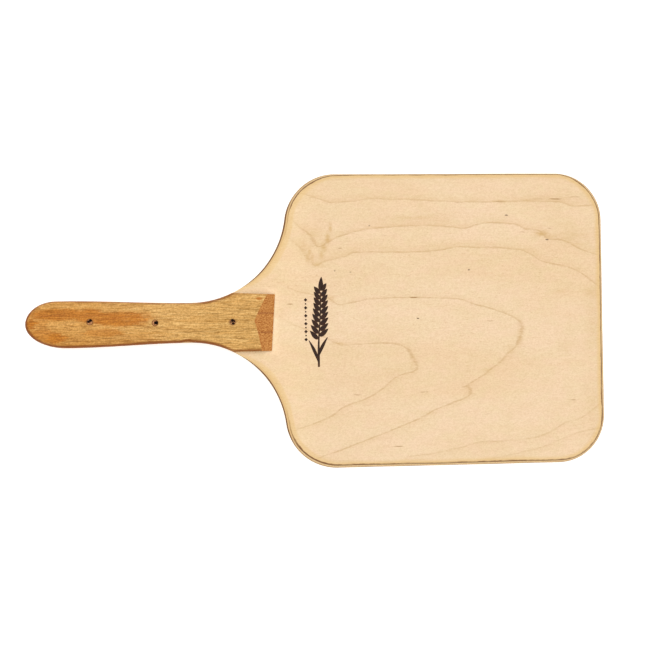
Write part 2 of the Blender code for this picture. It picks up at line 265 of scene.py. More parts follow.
def inside_loop(points, loop):
    x, y = points[:, 0][:, None], points[:, 1][:, None]
    a, b = loop, np.roll(loop, -1, axis=0)
    crosses = (a[None, :, 1] > y) != (b[None, :, 1] > y)
    rise = np.where(b[:, 1] == a[:, 1], 1e-9, b[:, 1] - a[:, 1])
    at = a[:, 0] + (y - a[:, 1]) * (b[:, 0] - a[:, 0]) / rise
    return ((crosses & (x < at)).sum(1) % 2) == 1


# ---------------------------------------------------------------- meshes


def mesh_object(name, points, faces, smooth_angle=30.0):
    """Object in the board frame, in millimetres until `settle` takes it to the row frame."""
    mesh = bpy.data.meshes.new(name)
    mesh.from_pydata([tuple(p) for p in points], [], [tuple(f) for f in faces])
    mesh.validate()
    mesh.shade_smooth()
    mesh.set_sharp_from_angle(angle=math.radians(smooth_angle))
    made = bpy.data.objects.new(name, mesh)
    bpy.context.scene.collection.objects.link(made)
    return made


def points_of(made):
    points = np.empty(len(made.data.vertices) * 3)
    made.data.vertices.foreach_get("co", points)
    return points.reshape(-1, 3)


def set_values(made, name, values):
    kind = "FLOAT_VECTOR" if np.ndim(values) == 2 else "FLOAT"
    stored = made.data.attributes.new(name, kind, "POINT")
    key = "vector" if kind == "FLOAT_VECTOR" else "value"
    stored.data.foreach_set(key, np.asarray(values, np.float32).ravel())


def settle(made, paint, stands_for=(), shift=(0.0, 0.0, 0.0)):
    """Stores the board coordinates for the grain, moves the piece to its place and hands it over."""
    points = points_of(made)
    set_values(made, "board_co", points + np.array(shift))
    made.data.transform(TO_ROW @ Matrix.Scale(MM, 4))
    made.data.materials.clear()
    made.data.materials.append(paint)
    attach(made, "root")
    if stands_for:
        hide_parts(*stands_for)
    return made


def cut_by(made, cutter, smooth_angle=30.0):
    """Applies a Boolean difference and drops the cutter."""
    modifier = made.modifiers.new("cut", "BOOLEAN")
    modifier.operation = "DIFFERENCE"
    modifier.solver = "EXACT"
    modifier.object = cutter
    bpy.context.view_layer.update()
    graph = bpy.context.evaluated_depsgraph_get()
    mesh = bpy.data.meshes.new_from_object(made.evaluated_get(graph))
    made.modifiers.clear()
    old, made.data = made.data, mesh
    bpy.data.meshes.remove(old)
    bpy.data.objects.remove(cutter, do_unlink=True)
    mesh.shade_smooth()
    mesh.set_sharp_from_angle(angle=math.radians(smooth_angle))
    return made


HOLE_SIDES = 32
HOLES = [
    np.array(
        [
            (
                x + HOLE_R * math.cos(2 * math.pi * i / HOLE_SIDES),
                y + HOLE_R * math.sin(2 * math.pi * i / HOLE_SIDES),
            )
            for i in range(HOLE_SIDES)
        ]
    )
    for x, y, _ in SCREW_PLACES.values()
]


def cap(ring, holes, inner):
    """Triangles over a ring with round holes. Indices count the ring, then holes, then inner points."""
    loops = [ring[:, :2]] + holes
    plan = np.concatenate(loops + ([inner] if len(inner) else []))
    edges, at = [], 0
    for loop in loops:
        count = len(loop)
        edges += [(at + i, at + (i + 1) % count) for i in range(count)]
        at += count
    out, _, faces, came_from, _, _ = delaunay_2d_cdt(
        [Vector(p) for p in plan], edges, [], 1, 1e-6
    )
    index = [origin[0] if origin else -1 for origin in came_from]
    triangles = []
    for face in faces:
        made = [index[i] for i in face]
        if -1 in made:
            raise RuntimeError("a cap's outline crosses itself")
        middle = plan[made].mean(0)
        if any(math.hypot(middle[0] - x, middle[1] - y) < HOLE_R for x, y, _ in SCREW_PLACES.values()):
            continue
        a, b, c = plan[made]
        turn = (b[0] - a[0]) * (c[1] - a[1]) - (b[1] - a[1]) * (c[0] - a[0])
        triangles.append(made if turn > 0 else made[::-1])
    return triangles


def plate(rings, inner):
    """Closed plate from equal rings, lowest first, with the screw holes and extra points on top."""
    count, held = len(rings[0]), len(HOLES) * HOLE_SIDES
    low, high = rings[0][:, 2].min(), rings[-1][:, 2].max()
    points = [ring for ring in rings]
    start_low = count * len(rings)
    start_high = start_low + held
    start_inner = start_high + held
    for z in (low, high):
        points.append(np.concatenate([np.column_stack([h, np.full(len(h), z)]) for h in HOLES]))
    if len(inner):
        points.append(np.column_stack([inner, np.full(len(inner), high)]))
    faces = []
    for k in range(len(rings) - 1):
        for i in range(count):
            j = (i + 1) % count
            faces.append((k * count + i, k * count + j, (k + 1) * count + j, (k + 1) * count + i))
    for hole in range(len(HOLES)):
        for i in range(HOLE_SIDES):
            j = (i + 1) % HOLE_SIDES
            a, b = hole * HOLE_SIDES + i, hole * HOLE_SIDES + j
            faces.append((start_low + b, start_low + a, start_high + a, start_high + b))

    def placed(i, ring_start, hole_start):
        if i < count:
            return ring_start + i
        if i < count + held:
            return hole_start + i - count
        return start_inner + i - count - held

    for face in cap(rings[-1], HOLES, inner):
        faces.append([placed(i, (len(rings) - 1) * count, start_high) for i in face])
    for face in cap(rings[0], HOLES, np.zeros((0, 2))):
        faces.append([placed(i, 0, start_low) for i in face][::-1])
    return np.concatenate(points), faces


def inner_points(ring, pitch, from_x):
    """Points in a hexagonal pattern over the blade, clear of the ring."""
    rows = []
    step = pitch * math.sqrt(3) / 2
    for k, y in enumerate(np.arange(-BLADE_HALF_WIDTH, BLADE_HALF_WIDTH, step)):
        x = np.arange(from_x, BOARD_LENGTH, pitch) + (pitch / 2 if k % 2 else 0)
        rows.append(np.column_stack([x, np.full(len(x), y)]))
    points = np.concatenate(rows)
    loop = ring[:, :2]
    keep = np.zeros(len(points), bool)
    for at in range(0, len(points), 4000):
        part = points[at : at + 4000]
        keep[at : at + 4000] = inside_loop(part, loop) & (distance_in(part, loop) > 0.7 * pitch)
    return points[keep]


# ---------------------------------------------------------------- growth rings of the faces

# Where the growth rings of the face veneer come to the surface, as points along each ring:
# (ring number, strength, points). The arches open towards the handle.
FACE_RINGS = (
    (5, 0.55, ((289, 130), (300, 127), (312, 123), (334, 124), (353, 126), (407, 124.5), (462, 122.5),
               (505, 122.8), (555, 121.6), (569, 117.6), (590, 118.8))),
    (4, 0.70, ((279, 98.5), (287, 93), (292.5, 87.5), (297, 78.7), (303, 77.6), (308, 80.6), (322, 87.6),
               (341, 93), (368, 96.3), (402, 98), (437, 97), (453, 95), (467, 99), (485, 101), (508, 98.6),
               (517.5, 94), (532, 91.9), (541.5, 84), (558, 81.6), (577, 72.3), (594, 65.9))),
    (3, 0.62, ((270, 85.6), (282, 74.6), (289, 64), (296.6, 57.4), (303.4, 60.5), (329, 67.3), (340, 71),
               (393, 70.6), (425, 72), (441, 74.8), (459, 75.2), (507, 73), (522, 67.8), (538, 58.9),
               (567, 52), (592.7, 36))),
    (2, 0.70, ((263, 36.6), (278, 30.8), (308, 24.2), (319, 17), (333, 18.7), (355, 22), (392, 23.2),
               (424, 22.8), (447, 20.7), (461, 16), (481, 10), (502, 2.9), (510, -2.8), (513.4, -9.8),
               (507, -26.8), (495.5, -37.9), (487, -47), (466, -62.5), (450, -71.3), (456.8, -74.8),
               (453, -81.6), (426.5, -91.3), (394, -106.4), (348.5, -123.6), (303, -139.3))),
    (1, 0.66, ((262.7, 3.3), (269.5, -2), (295.5, -12.4), (318, -23), (325, -25), (355, -24), (380, -24.8),
               (390, -29.5), (395.3, -36.2), (401, -48.8), (397.5, -53.3), (388, -55.4), (377, -60.8),
               (365, -70.8), (349, -80.7), (326, -88), (308, -100), (274, -111.6))),
    (3, 0.42, ((593.6, -92.2), (574.7, -105.7), (558, -110), (532, -123), (504, -127.4), (463, -129.5),
               (444, -134.7), (400.5, -141.6))),
    (4, 0.38, ((591, -117.4), (567, -122.7), (537, -134.5), (502, -142.7), (481, -145.8))),
)

# Short mineral flecks of the face veneer: (x, y, half length, strength)
FACE_FLECKS = (
    (368.9, 88.3, 6.0, 0.35), (322.4, 75.2, 3.0, 0.70), (353.2, 98.2, 1.4, 0.50), (457.3, 51.4, 1.8, 0.75),
    (332.9, 50.3, 1.3, 0.40), (316.3, 51.7, 1.4, 0.50), (398.7, 23.1, 5.5, 1.00), (402.9, 1.4, 1.9, 0.95),
    (478.7, -2.2, 4.5, 0.50), (337.8, -77.0, 5.5, 0.60), (408.4, -75.5, 6.5, 0.40), (380.1, -131.4, 7.5, 0.80),
    (566.8, -86.7, 3.8, 0.70), (269.4, 17.8, 4.8, 0.80), (541.3, 82.3, 2.4, 0.80), (491.2, 122.6, 7.0, 0.60),
    (550.7, 125.1, 9.5, 0.95), (572.0, 127.0, 9.0, 0.45), (531.0, 125.1, 9.0, 0.35), (498.2, 108.4, 2.4, 0.80),
    (474.6, -99.7, 3.2, 0.30), (515.2, 90.5, 5.5, 0.40), (254.4, -63.8, 2.2, 0.60), (544.2, 94.3, 2.7, 0.60),
    (447.0, 121.9, 7.0, 0.25),
)

# Tan stains of the face veneer: (x, y, half length, half width, amount)
FACE_STAINS = (
    (535.5, 88.8, 7.3, 3.3, 1.00), (542.9, 85.5, 8.3, 2.6, 0.60), (309.5, 85.3, 2.4, 6.2, 1.00),
    (305.7, 76.0, 3.1, 4.6, 0.95), (303.0, 68.8, 2.1, 4.6, 0.70), (298.7, 58.5, 5.2, 1.9, 0.80),
    (312.6, 97.0, 1.9, 6.0, 0.80), (290.5, 72.0, 2.0, 5.0, 0.70), (293.5, 65.0, 2.0, 4.0, 0.60),
    (288.4, 64.8, 2.1, 5.2, 0.55), (312.2, 23.1, 4.2, 3.1, 0.55), (319.2, -23.6, 6.2, 2.1, 0.45),
    (556.6, 27.5, 7.3, 3.1, 0.35), (588.2, 26.0, 8.3, 6.2, 0.35), (588.7, -5.6, 6.2, 22.9, 0.28),
    (559.2, -28.4, 12.5, 5.2, 0.28), (586.1, -29.8, 8.3, 10.4, 0.20), (587.2, -87.9, 8.3, 27.0, 0.20),
    (405.1, 106.4, 31.2, 2.6, 0.36), (428.3, 107.3, 20.8, 6.2, 0.18), (491.2, 122.7, 8.3, 1.4, 0.60),
    (524.3, 123.8, 16.6, 1.7, 0.42), (510.1, -17.1, 3.1, 12.5, 0.34), (500.2, -33.7, 5.2, 6.2, 0.28),
    (475.4, -54.3, 5.2, 2.5, 0.42), (453.8, -74.8, 4.2, 5.2, 0.30), (411.2, -96.9, 8.3, 2.1, 0.28),
    (396.3, -44.6, 3.1, 9.4, 0.30), (295.1, 93.7, 12.5, 10.4, 0.26), (302.5, 104.0, 14.6, 9.4, 0.18),
    (284.5, 79.3, 5.2, 8.3, 0.26), (378.3, -53.6, 12.5, 4.2, 0.18), (571.0, 85.0, 23.0, 10.5, 0.35),
    (545.0, 125.0, 30.0, 4.0, 0.30),
)


def through(points, step=6.0):
    """A smooth curve through the points, sampled about every step."""
    points = np.array(points, float)
    held = np.concatenate([[2 * points[0] - points[1]], points, [2 * points[-1] - points[-2]]])
    out = []
    for a, b, c, d in zip(held, held[1:], held[2:], held[3:]):
        for t in np.arange(0, 1, 1 / max(1, round(np.linalg.norm(c - b) / step))):
            out.append(
                0.5 * (2 * b + (c - a) * t + (2 * a - 5 * b + 4 * c - d) * t * t + (3 * b - a - 3 * c + d) * t**3)
            )
    return np.array(out + [points[-1]])


def thin_plate(known, values, stiffness=2e-4):
    """A smooth surface through scattered values, as a function of plan points."""
    known = known / 100.0
    gap = np.linalg.norm(known[:, None] - known[None], axis=2)
    core = np.where(gap > 0, gap**2 * np.log(np.maximum(gap, 1e-12)), 0.0)
    count = len(known)
    side = np.column_stack([np.ones(count), known])
    whole = np.block([[core + stiffness * np.eye(count), side], [side.T, np.zeros((3, 3))]])
    weights = np.linalg.solve(whole, np.concatenate([values, np.zeros(3)]))

    def surface(points):
        out = np.empty(len(points))
        for at in range(0, len(points), 4000):
            part = points[at : at + 4000] / 100.0
            gap = np.linalg.norm(part[:, None] - known[None], axis=2)
            core = gap**2 * np.log(np.maximum(gap, 1e-12))
            out[at : at + 4000] = core @ weights[:count] + weights[count] + part @ weights[count + 1 :]
        return out

    return surface


def face_figure(points):
    """(ring number, its slope, strength of the nearest ring line, stain, how far it runs across the grain)."""
    curves = [through(line) for _, _, line in FACE_RINGS]
    known = np.concatenate(curves)
    levels = np.concatenate([np.full(len(c), float(n)) for c, (n, _, _) in zip(curves, FACE_RINGS)])
    depth = np.concatenate([np.full(len(c), s) for c, (_, s, _) in zip(curves, FACE_RINGS)])
    # The inner side of every ring is on the right of its points, and the ring number falls there.
    flanks, flank_levels = [], []
    for curve, (number, _, _) in zip(curves, FACE_RINGS):
        along = np.gradient(curve, axis=0)
        left = np.column_stack([-along[:, 1], along[:, 0]]) / np.linalg.norm(along, axis=1)[:, None]
        for way in (1, -1):
            flanks.append(curve[1:-1] + 4.0 * way * left[1:-1])
            flank_levels.append(np.full(len(curve) - 2, number + 0.15 * way))
    flanks, flank_levels = np.concatenate(flanks), np.concatenate(flank_levels)
    clear = np.linalg.norm(flanks[:, None] - known[None], axis=2).min(1) > 3.3
    surface = thin_plate(np.concatenate([known, flanks[clear]]), np.concatenate([levels, flank_levels[clear]]))
    ring = surface(points)
    across = np.abs(surface(points + [0.5, 0]) - surface(points - [0.5, 0]))
    slope = np.hypot(across, surface(points + [0, 0.5]) - surface(points - [0, 0.5]))
    tip = across / np.maximum(slope, 1e-6)
    strength = np.empty(len(points))
    for at in range(0, len(points), 4000):
        gap = np.linalg.norm(points[at : at + 4000, None] - known[None], axis=2)
        near = gap.argmin(1)
        strength[at : at + 4000] = depth[near] * np.exp(-((gap.min(1) / 13.0) ** 4))
    stain = np.zeros(len(points))
    for x, y, half_x, half_y, amount in FACE_STAINS:
        away = ((points[:, 0] - x) / half_x) ** 2 + ((points[:, 1] - y) / half_y) ** 2
        stain = np.maximum(stain, amount * np.exp(-away))
    return ring, np.maximum(slope, 0.022), strength, stain, tip


def back_figure(points):
    """The back veneer's growth rings: one tall arch and its neighbours, closer at the sides."""
    x, y = points[:, 0], points[:, 1]
    warp = 9 * np.sin(x / 61 + 0.4) + 5 * np.sin(x / 27 + y / 35 + 1.2)
    height = (y + 22 + warp) / 34.0
    ring = np.sqrt(height**2 + 0.12) + (x - 380) / 160.0 + 0.12 * np.sin(x / 19 + y / 13)
    gap = 0.5
    dx = ((x + gap) - (x - gap)) / 160.0
    dy = (np.sqrt(((y + gap + 22 + warp) / 34.0) ** 2 + 0.12) - np.sqrt(((y - gap + 22 + warp) / 34.0) ** 2 + 0.12))
    slope = np.hypot(dx, dy)
    tip = dx / np.maximum(slope, 1e-6)
    strength = 0.32 + 0.22 * np.sin(x / 47 + y / 31)
    stain = 0.25 * np.exp(-(((x - 470) / 40) ** 2) - (((y - 60) / 9) ** 2))
    return ring, np.maximum(slope, 0.012), strength, stain, tip


# ---------------------------------------------------------------- node materials


def paint(red, green, blue):
    """Linear colour from display values of 0 to 255."""
    linear = [v / 12.92 if v <= 0.04045 else ((v + 0.055) / 1.055) ** 2.4 for v in (red / 255, green / 255, blue / 255)]
    return (*linear, 1.0)


class Finish:
    """A node material under construction."""

    def __init__(self, name):
        self.material = bpy.data.materials.new(name)
        self.material.use_nodes = True
        self.tree = self.material.node_tree
        self.tree.nodes.clear()
        out = self.tree.nodes.new("ShaderNodeOutputMaterial")
        self.shader = self.tree.nodes.new("ShaderNodeBsdfPrincipled")
        self.tree.links.new(self.shader.outputs["BSDF"], out.inputs["Surface"])

    def put(self, socket, value):
        if isinstance(value, bpy.types.NodeSocket):
            self.tree.links.new(value, socket)
        else:
            socket.default_value = value

    def stored(self, name, output="Fac"):
        node = self.tree.nodes.new("ShaderNodeAttribute")
        node.attribute_name = name
        return node.outputs[output]

    def math(self, operation, a, b=0.0, c=0.0):
        node = self.tree.nodes.new("ShaderNodeMath")
        node.operation = operation
        for socket, value in zip(node.inputs, (a, b, c)):
            self.put(socket, value)
        return node.outputs[0]

    def vector(self, operation, a, b=(0.0, 0.0, 0.0)):
        node = self.tree.nodes.new("ShaderNodeVectorMath")
        node.operation = operation
        self.put(node.inputs[0], a)
        if operation == "SCALE":
            self.put(node.inputs["Scale"], b)
        elif operation != "LENGTH":
            self.put(node.inputs[1], b)
        return node.outputs["Value" if operation in ("LENGTH", "DOT_PRODUCT") else "Vector"]

    def noise(self, where, stretch, detail=2.0, rough=0.5, warp=0.0, shift=(0.0, 0.0, 0.0)):
        """Noise whose features are about 1 / stretch millimetres along each axis."""
        where = self.vector("MULTIPLY", where, stretch)
        if shift != (0.0, 0.0, 0.0):
            where = self.vector("ADD", where, shift)
        node = self.tree.nodes.new("ShaderNodeTexNoise")
        node.noise_dimensions = "3D"
        self.put(node.inputs["Vector"], where)
        node.inputs["Scale"].default_value = 1.0
        node.inputs["Detail"].default_value = detail
        node.inputs["Roughness"].default_value = rough
        node.inputs["Distortion"].default_value = warp
        return node.outputs[0]

    def drift(self, where):
        """Noise as a vector, to bend the borders of spots."""
        node = self.tree.nodes.new("ShaderNodeTexNoise")
        self.put(node.inputs["Vector"], self.vector("MULTIPLY", where, (0.12, 0.4, 0.4)))
        node.inputs["Scale"].default_value = 1.0
        node.inputs["Detail"].default_value = 2.0
        return self.vector("SUBTRACT", node.outputs[1], (0.5, 0.5, 0.5))

    def span(self, value, low, high, to_low=0.0, to_high=1.0):
        """Smoothly from to_low at low to to_high at high, and level outside them."""
        node = self.tree.nodes.new("ShaderNodeMapRange")
        node.interpolation_type = "SMOOTHSTEP"
        for key, item in (("Value", value), ("From Min", low), ("From Max", high), ("To Min", to_low), ("To Max", to_high)):
            self.put(node.inputs[key], item)
        return node.outputs[0]

    def mix(self, share, a, b, blend="MIX"):
        node = self.tree.nodes.new("ShaderNodeMix")
        node.data_type = "RGBA"
        node.blend_type = blend
        node.clamp_factor = True
        self.put(node.inputs[0], share)
        self.put(node.inputs[6], a)
        self.put(node.inputs[7], b)
        return node.outputs[2]

    def split(self, vector):
        node = self.tree.nodes.new("ShaderNodeSeparateXYZ")
        self.put(node.inputs[0], vector)
        return node.outputs

    def dash(self, where, x, y, half_x, half_y):
        """1 in the middle of a long spot at x, y and 0 outside it."""
        off = self.vector("SUBTRACT", where, (x, y, 0.0))
        off = self.vector("MULTIPLY", off, (1 / half_x, 1 / half_y, 0.0))
        return self.span(self.vector("LENGTH", off), 1.0, 0.35)

    def most(self, values):
        out = values[0]
        for value in values[1:]:
            out = self.math("MAXIMUM", out, value)
        return out

    def bump(self, height, strength, distance_mm, normal=None):
        node = self.tree.nodes.new("ShaderNodeBump")
        node.inputs["Strength"].default_value = strength
        node.inputs["Distance"].default_value = distance_mm * MM
        self.put(node.inputs["Height"], height)
        if normal is not None:
            self.put(node.inputs["Normal"], normal)
        return node.outputs[0]

    def finish(self, colour, roughness, normal=None, metallic=0.0, specular=0.5):
        self.put(self.shader.inputs["Base Color"], colour)
        self.put(self.shader.inputs["Roughness"], roughness)
        self.put(self.shader.inputs["Metallic"], metallic)
        self.put(self.shader.inputs["Specular IOR Level"], specular)
        if normal is not None:
            self.put(self.shader.inputs["Normal"], normal)
        return self.material


FACE_TONE = (0.852, 0.844, 0.848, 1.0)


def veneer_finish(name, flecks, seed):
    """Pale plain-sawn veneer: soft latewood lines, fine speckle, flecks, and a golden sanded edge."""
    m = Finish(name)
    at = m.stored("board_co", "Vector")
    ring, slope, tip = m.stored("ring"), m.stored("slope"), m.stored("tip")
    strength, stain, rim = m.stored("strength"), m.stored("stain"), m.stored("rim")
    x, y, z = m.split(at)
    z = m.math("ABSOLUTE", z)
    here = (seed, seed * 0.7, seed * 1.3)

    # Even pale ground with slow changes of tone, and fibre along x
    slow = m.noise(at, (0.006, 0.022, 0.02), 2, 0.5, 0.3, here)
    colour = m.mix(m.span(slow, 0.3, 0.7), paint(248, 220, 183), paint(244, 214, 172))
    cloudy = m.noise(at, (0.03, 0.06, 0.05), 3, 0.6, 0.6, here)
    colour = m.mix(m.span(cloudy, 0.38, 0.75, 0.0, 0.20), colour, paint(234, 202, 158))
    fibre = m.noise(at, (0.045, 1.1, 1.1), 4, 0.65, 0.0, here)
    colour = m.mix(m.span(fibre, 0.40, 0.78, 0.0, 0.24), colour, paint(224, 188, 140))
    pale = m.noise(at, (0.08, 0.8, 0.8), 3, 0.6, 0.0, (seed + 31.0, 4.0, 7.0))
    colour = m.mix(m.span(pale, 0.52, 0.75, 0.0, 0.24), colour, paint(255, 233, 198))
    mottle = m.noise(at, (0.30, 0.55, 0.5), 4, 0.75, 0.0, here)
    colour = m.mix(m.span(mottle, 0.46, 0.74, 0.0, 0.30), colour, paint(228, 192, 146))
    hue = m.noise(at, (0.045, 0.075, 0.06), 3, 0.6, 0.4, (seed + 13.0, 9.0, 4.0))
    tint = m.mix(m.span(hue, 0.36, 0.64), (1.008, 0.984, 0.982, 1.0), (0.986, 0.992, 0.950, 1.0))
    colour = m.mix(1.0, colour, tint, "MULTIPLY")
    speck = m.noise(at, (0.62, 0.85, 0.8), 2, 0.75, 0.0, (seed + 40.0, 3.0, 8.0))
    grain = m.mix(m.span(speck, 0.36, 0.64), (0.925, 0.905, 0.880, 1.0), (1.030, 1.035, 1.045, 1.0))
    colour = m.mix(1.0, colour, grain, "MULTIPLY")

    # Growth-ring lines: sharp on their inner side, soft and tan on the outer, torn at the arch tips
    ragged = m.math("SUBTRACT", m.noise(at, (0.20, 1.2, 1.0), 3, 0.6, 0.0, here), 0.5)
    wandering = m.math("SUBTRACT", m.noise(at, (0.035, 0.09, 0.1), 2, 0.5, 0.0, here), 0.5)
    torn_tip = m.span(tip, 0.55, 0.98)
    shove = m.math("MULTIPLY", ragged, m.math("MULTIPLY_ADD", torn_tip, 7.0, 2.3))
    shove = m.math("ADD", shove, m.math("MULTIPLY", wandering, 3.0))
    level = m.math("MULTIPLY_ADD", shove, slope, ring)
    off = m.math("SUBTRACT", level, m.math("ROUND", level))
    away = m.math("DIVIDE", off, slope)
    width = m.math("MULTIPLY_ADD", torn_tip, 2.2, 1.30)
    line = m.span(m.math("ABSOLUTE", away), width, 0.0)
    broken = m.span(m.noise(at, (0.05, 0.3, 0.3), 3, 0.6, 0.0, (3.0, seed, 9.0)), 0.30, 0.60, 0.30, 1.0)
    in_neck = m.span(x, 258.0, 300.0, 0.25, 1.0)
    strength = m.math("MULTIPLY", strength, in_neck)
    line = m.math("MULTIPLY", m.math("MULTIPLY", line, broken), strength)
    colour = m.mix(m.math("MULTIPLY", line, 0.72), colour, paint(192, 152, 96))
    halo = m.math("MULTIPLY", m.span(away, 9.5, 0.3), m.span(away, -0.8, 0.2))
    thread = m.span(m.noise(at, (0.07, 0.45, 0.4), 3, 0.65, 0.0, (seed + 2.0, 6.0, 1.0)), 0.34, 0.62, 0.25, 1.0)
    halo = m.math("MULTIPLY", m.math("MULTIPLY", halo, thread), strength)
    upper = m.span(y, 30.0, 75.0, 0.26, 0.52)
    colour = m.mix(m.math("MULTIPLY", halo, upper), colour, paint(224, 186, 134))

    # Stains, pith flecks and the small pores
    torn = m.noise(at, (0.15, 0.55, 0.5), 3, 0.7, 0.4, (seed, 2.0, 5.0))
    patch = m.math("MULTIPLY", stain, m.span(torn, 0.30, 0.62, 0.35, 1.0))
    colour = m.mix(m.math("MULTIPLY", patch, 0.84), colour, paint(208, 167, 100))
    pores = m.noise(at, (0.24, 1.0, 1.0), 1.5, 0.5, 0.0, (seed + 11.0, 1.0, 2.0))
    sparse = m.noise(at, (0.012, 0.03, 0.03), 2, 0.5, 0.0, (seed + 4.0, 8.0, 1.0))
    central = m.span(m.math("ABSOLUTE", m.math("SUBTRACT", y, 10.0)), 120.0, 30.0, 0.35, 1.0)
    pore = m.math("MULTIPLY", m.span(pores, 0.62, 0.76), m.span(sparse, 0.35, 0.65, 0.30, 0.90))
    pore = m.math("MULTIPLY", pore, central)
    colour = m.mix(m.math("MULTIPLY", pore, 0.50), colour, paint(196, 152, 100))
    if flecks:
        bent = m.vector("ADD", at, m.vector("SCALE", m.drift(at), 1.4))
        for least, most, half_y, share, dark in ((2.5, 99.0, 0.75, 0.85, (164, 118, 64)), (0.0, 2.5, 1.10, 1.00, (92, 60, 36))):
            spots = [
                m.math("MULTIPLY", m.dash(bent, fx, fy, half, half_y), strong)
                for fx, fy, half, strong in flecks
                if least <= half < most
            ]
            fleck = m.math("MULTIPLY", m.most(spots), m.span(ragged, -0.28, 0.05, 0.5, 1.0))
            colour = m.mix(m.math("MULTIPLY", fleck, share), colour, paint(*dark))

    # The rounded edge is sanded through to a deeper golden wood, fading softly into the face
    worn = m.math("ADD", rim, m.math("MULTIPLY", m.math("SUBTRACT", m.noise(at, (0.05, 0.05, 0.3), 2, 0.5), 0.5), 0.30))
    golden = m.span(worn, 1.16, 0.50)
    in_arc = m.math("MULTIPLY", m.span(rim, 1.36, 0.92), m.span(x, 312.0, 286.0, 0.0, 0.72))
    golden = m.math("MAXIMUM", golden, in_arc)
    band = m.mix(m.span(fibre, 0.35, 0.7), paint(238, 202, 142), paint(228, 190, 126))
    colour = m.mix(m.math("MULTIPLY", golden, 0.86), colour, band)
    first = m.math("MULTIPLY", m.span(worn, 0.84, 0.99), m.span(worn, 1.16, 1.01))
    uneven = m.span(m.noise(at, (0.03, 0.03, 0.1), 3, 0.6, 0.0, (seed, 17.0, 3.0)), 0.45, 0.75)
    colour = m.mix(m.math("MULTIPLY", m.math("MULTIPLY", first, uneven), 0.22), colour, paint(210, 166, 106))
    # Scorched brown beside the glue line, more in some places than in others
    lip = m.math("ADD", 2.22, m.math("MULTIPLY", m.math("SUBTRACT", m.noise(at, (0.11, 0.11, 0.11), 3, 0.6), 0.5), 0.75))
    lower = m.span(y, -20.0, -120.0, 0.0, 0.16)
    lip = m.math("ADD", lip, lower)
    burnt = m.math("MULTIPLY", m.span(z, m.math("ADD", lip, 0.16), lip), m.span(rim, 1.0, 0.8))
    burnt = m.math("MULTIPLY", burnt, m.span(x, 262.0, 274.0))
    scorch = m.span(m.noise(at, (0.07, 0.07, 0.1), 3, 0.7, 0.0, (seed, 3.0, 27.0)), 0.34, 0.62, 0.35, 0.90)
    scorch = m.math("ADD", scorch, m.span(x, 325.0, 295.0, 0.0, 0.35))
    colour = m.mix(m.math("MULTIPLY", burnt, scorch), colour, paint(136, 94, 50))

    # Painted light on the face towards the handle and in a strip beside the scale's head, lifting the shade that the
    # scales throw there
    colour = m.mix(1.0, colour, m.mix(m.span(x, 318.0, 262.0), (1.0, 1.0, 1.0, 1.0), (1.045, 1.045, 1.03, 1.0)), "MULTIPLY")
    beside = m.math("MULTIPLY", m.span(m.math("ABSOLUTE", y), 38.0, 29.5), m.span(x, 262.0, 252.0))
    colour = m.mix(1.0, colour, m.mix(beside, (1.0, 1.0, 1.0, 1.0), (1.12, 1.14, 1.16, 1.0)), "MULTIPLY")
    colour = m.mix(1.0, colour, FACE_TONE, "MULTIPLY")

    rough = m.span(fibre, 0.3, 0.8, 0.50, 0.66)
    rough = m.math("ADD", rough, m.math("MULTIPLY", line, 0.06))
    height = m.math("ADD", m.math("MULTIPLY", fibre, 0.6), m.math("MULTIPLY", pore, -0.8))
    height = m.math("ADD", height, m.math("MULTIPLY", line, -0.25))
    return m.finish(colour, rough, m.bump(height, 0.35, 0.10), specular=0.35)


def ply_finish(name, light, dark, along, seed):
    """Edge of an inner ply: fibre along x or y, and end grain where the edge cuts across it."""
    m = Finish(name)
    at = m.stored("board_co", "Vector")
    z = m.split(at)[2]
    stretch = (0.05, 1.3, 2.2) if along == "x" else (1.3, 0.05, 2.2)
    fibre = m.noise(at, stretch, 4, 0.65, 0.0, (seed, 1.0, 2.0))
    colour = m.mix(m.span(fibre, 0.32, 0.72), light, dark)
    ends = m.noise(at, (1.6, 1.6, 3.0), 3, 0.7, 0.0, (seed, 5.0, 9.0))
    colour = m.mix(m.span(ends, 0.52, 0.80, 0.0, 0.45), colour, paint(178, 132, 82))
    grime = m.noise(at, (0.02, 0.02, 0.1), 3, 0.6, 0.4, (seed, 12.0, 3.0))
    colour = m.mix(m.span(grime, 0.50, 0.78, 0.0, 0.42), colour, paint(160, 118, 76))
    in_arc = m.math("MULTIPLY", m.span(m.split(at)[0], 277.0, 266.0), m.span(m.split(at)[0], 204.0, 224.0))
    sanded = m.mix(m.span(m.math("ABSOLUTE", z), 1.15, 1.55), paint(112, 74, 38), paint(222, 184, 128))
    colour = m.mix(m.math("MULTIPLY", in_arc, 0.94), colour, sanded)
    middle = {"x": 0.0, "y": 1.32}[along]
    away = m.math("ABSOLUTE", m.math("SUBTRACT", m.math("ABSOLUTE", z), middle))
    seam = m.span(away, m.math("ADD", 0.38, m.math("MULTIPLY", m.math("SUBTRACT", ends, 0.5), 0.3)), 0.56)
    seam = m.math("MULTIPLY", seam, m.math("MULTIPLY_ADD", in_arc, -0.70, 0.75))
    colour = m.mix(seam, colour, paint(132, 92, 52))
    height = m.math("ADD", fibre, m.math("MULTIPLY", ends, 0.6))
    return m.finish(colour, m.span(ends, 0.3, 0.8, 0.62, 0.80), m.bump(height, 0.4, 0.08), specular=0.3)


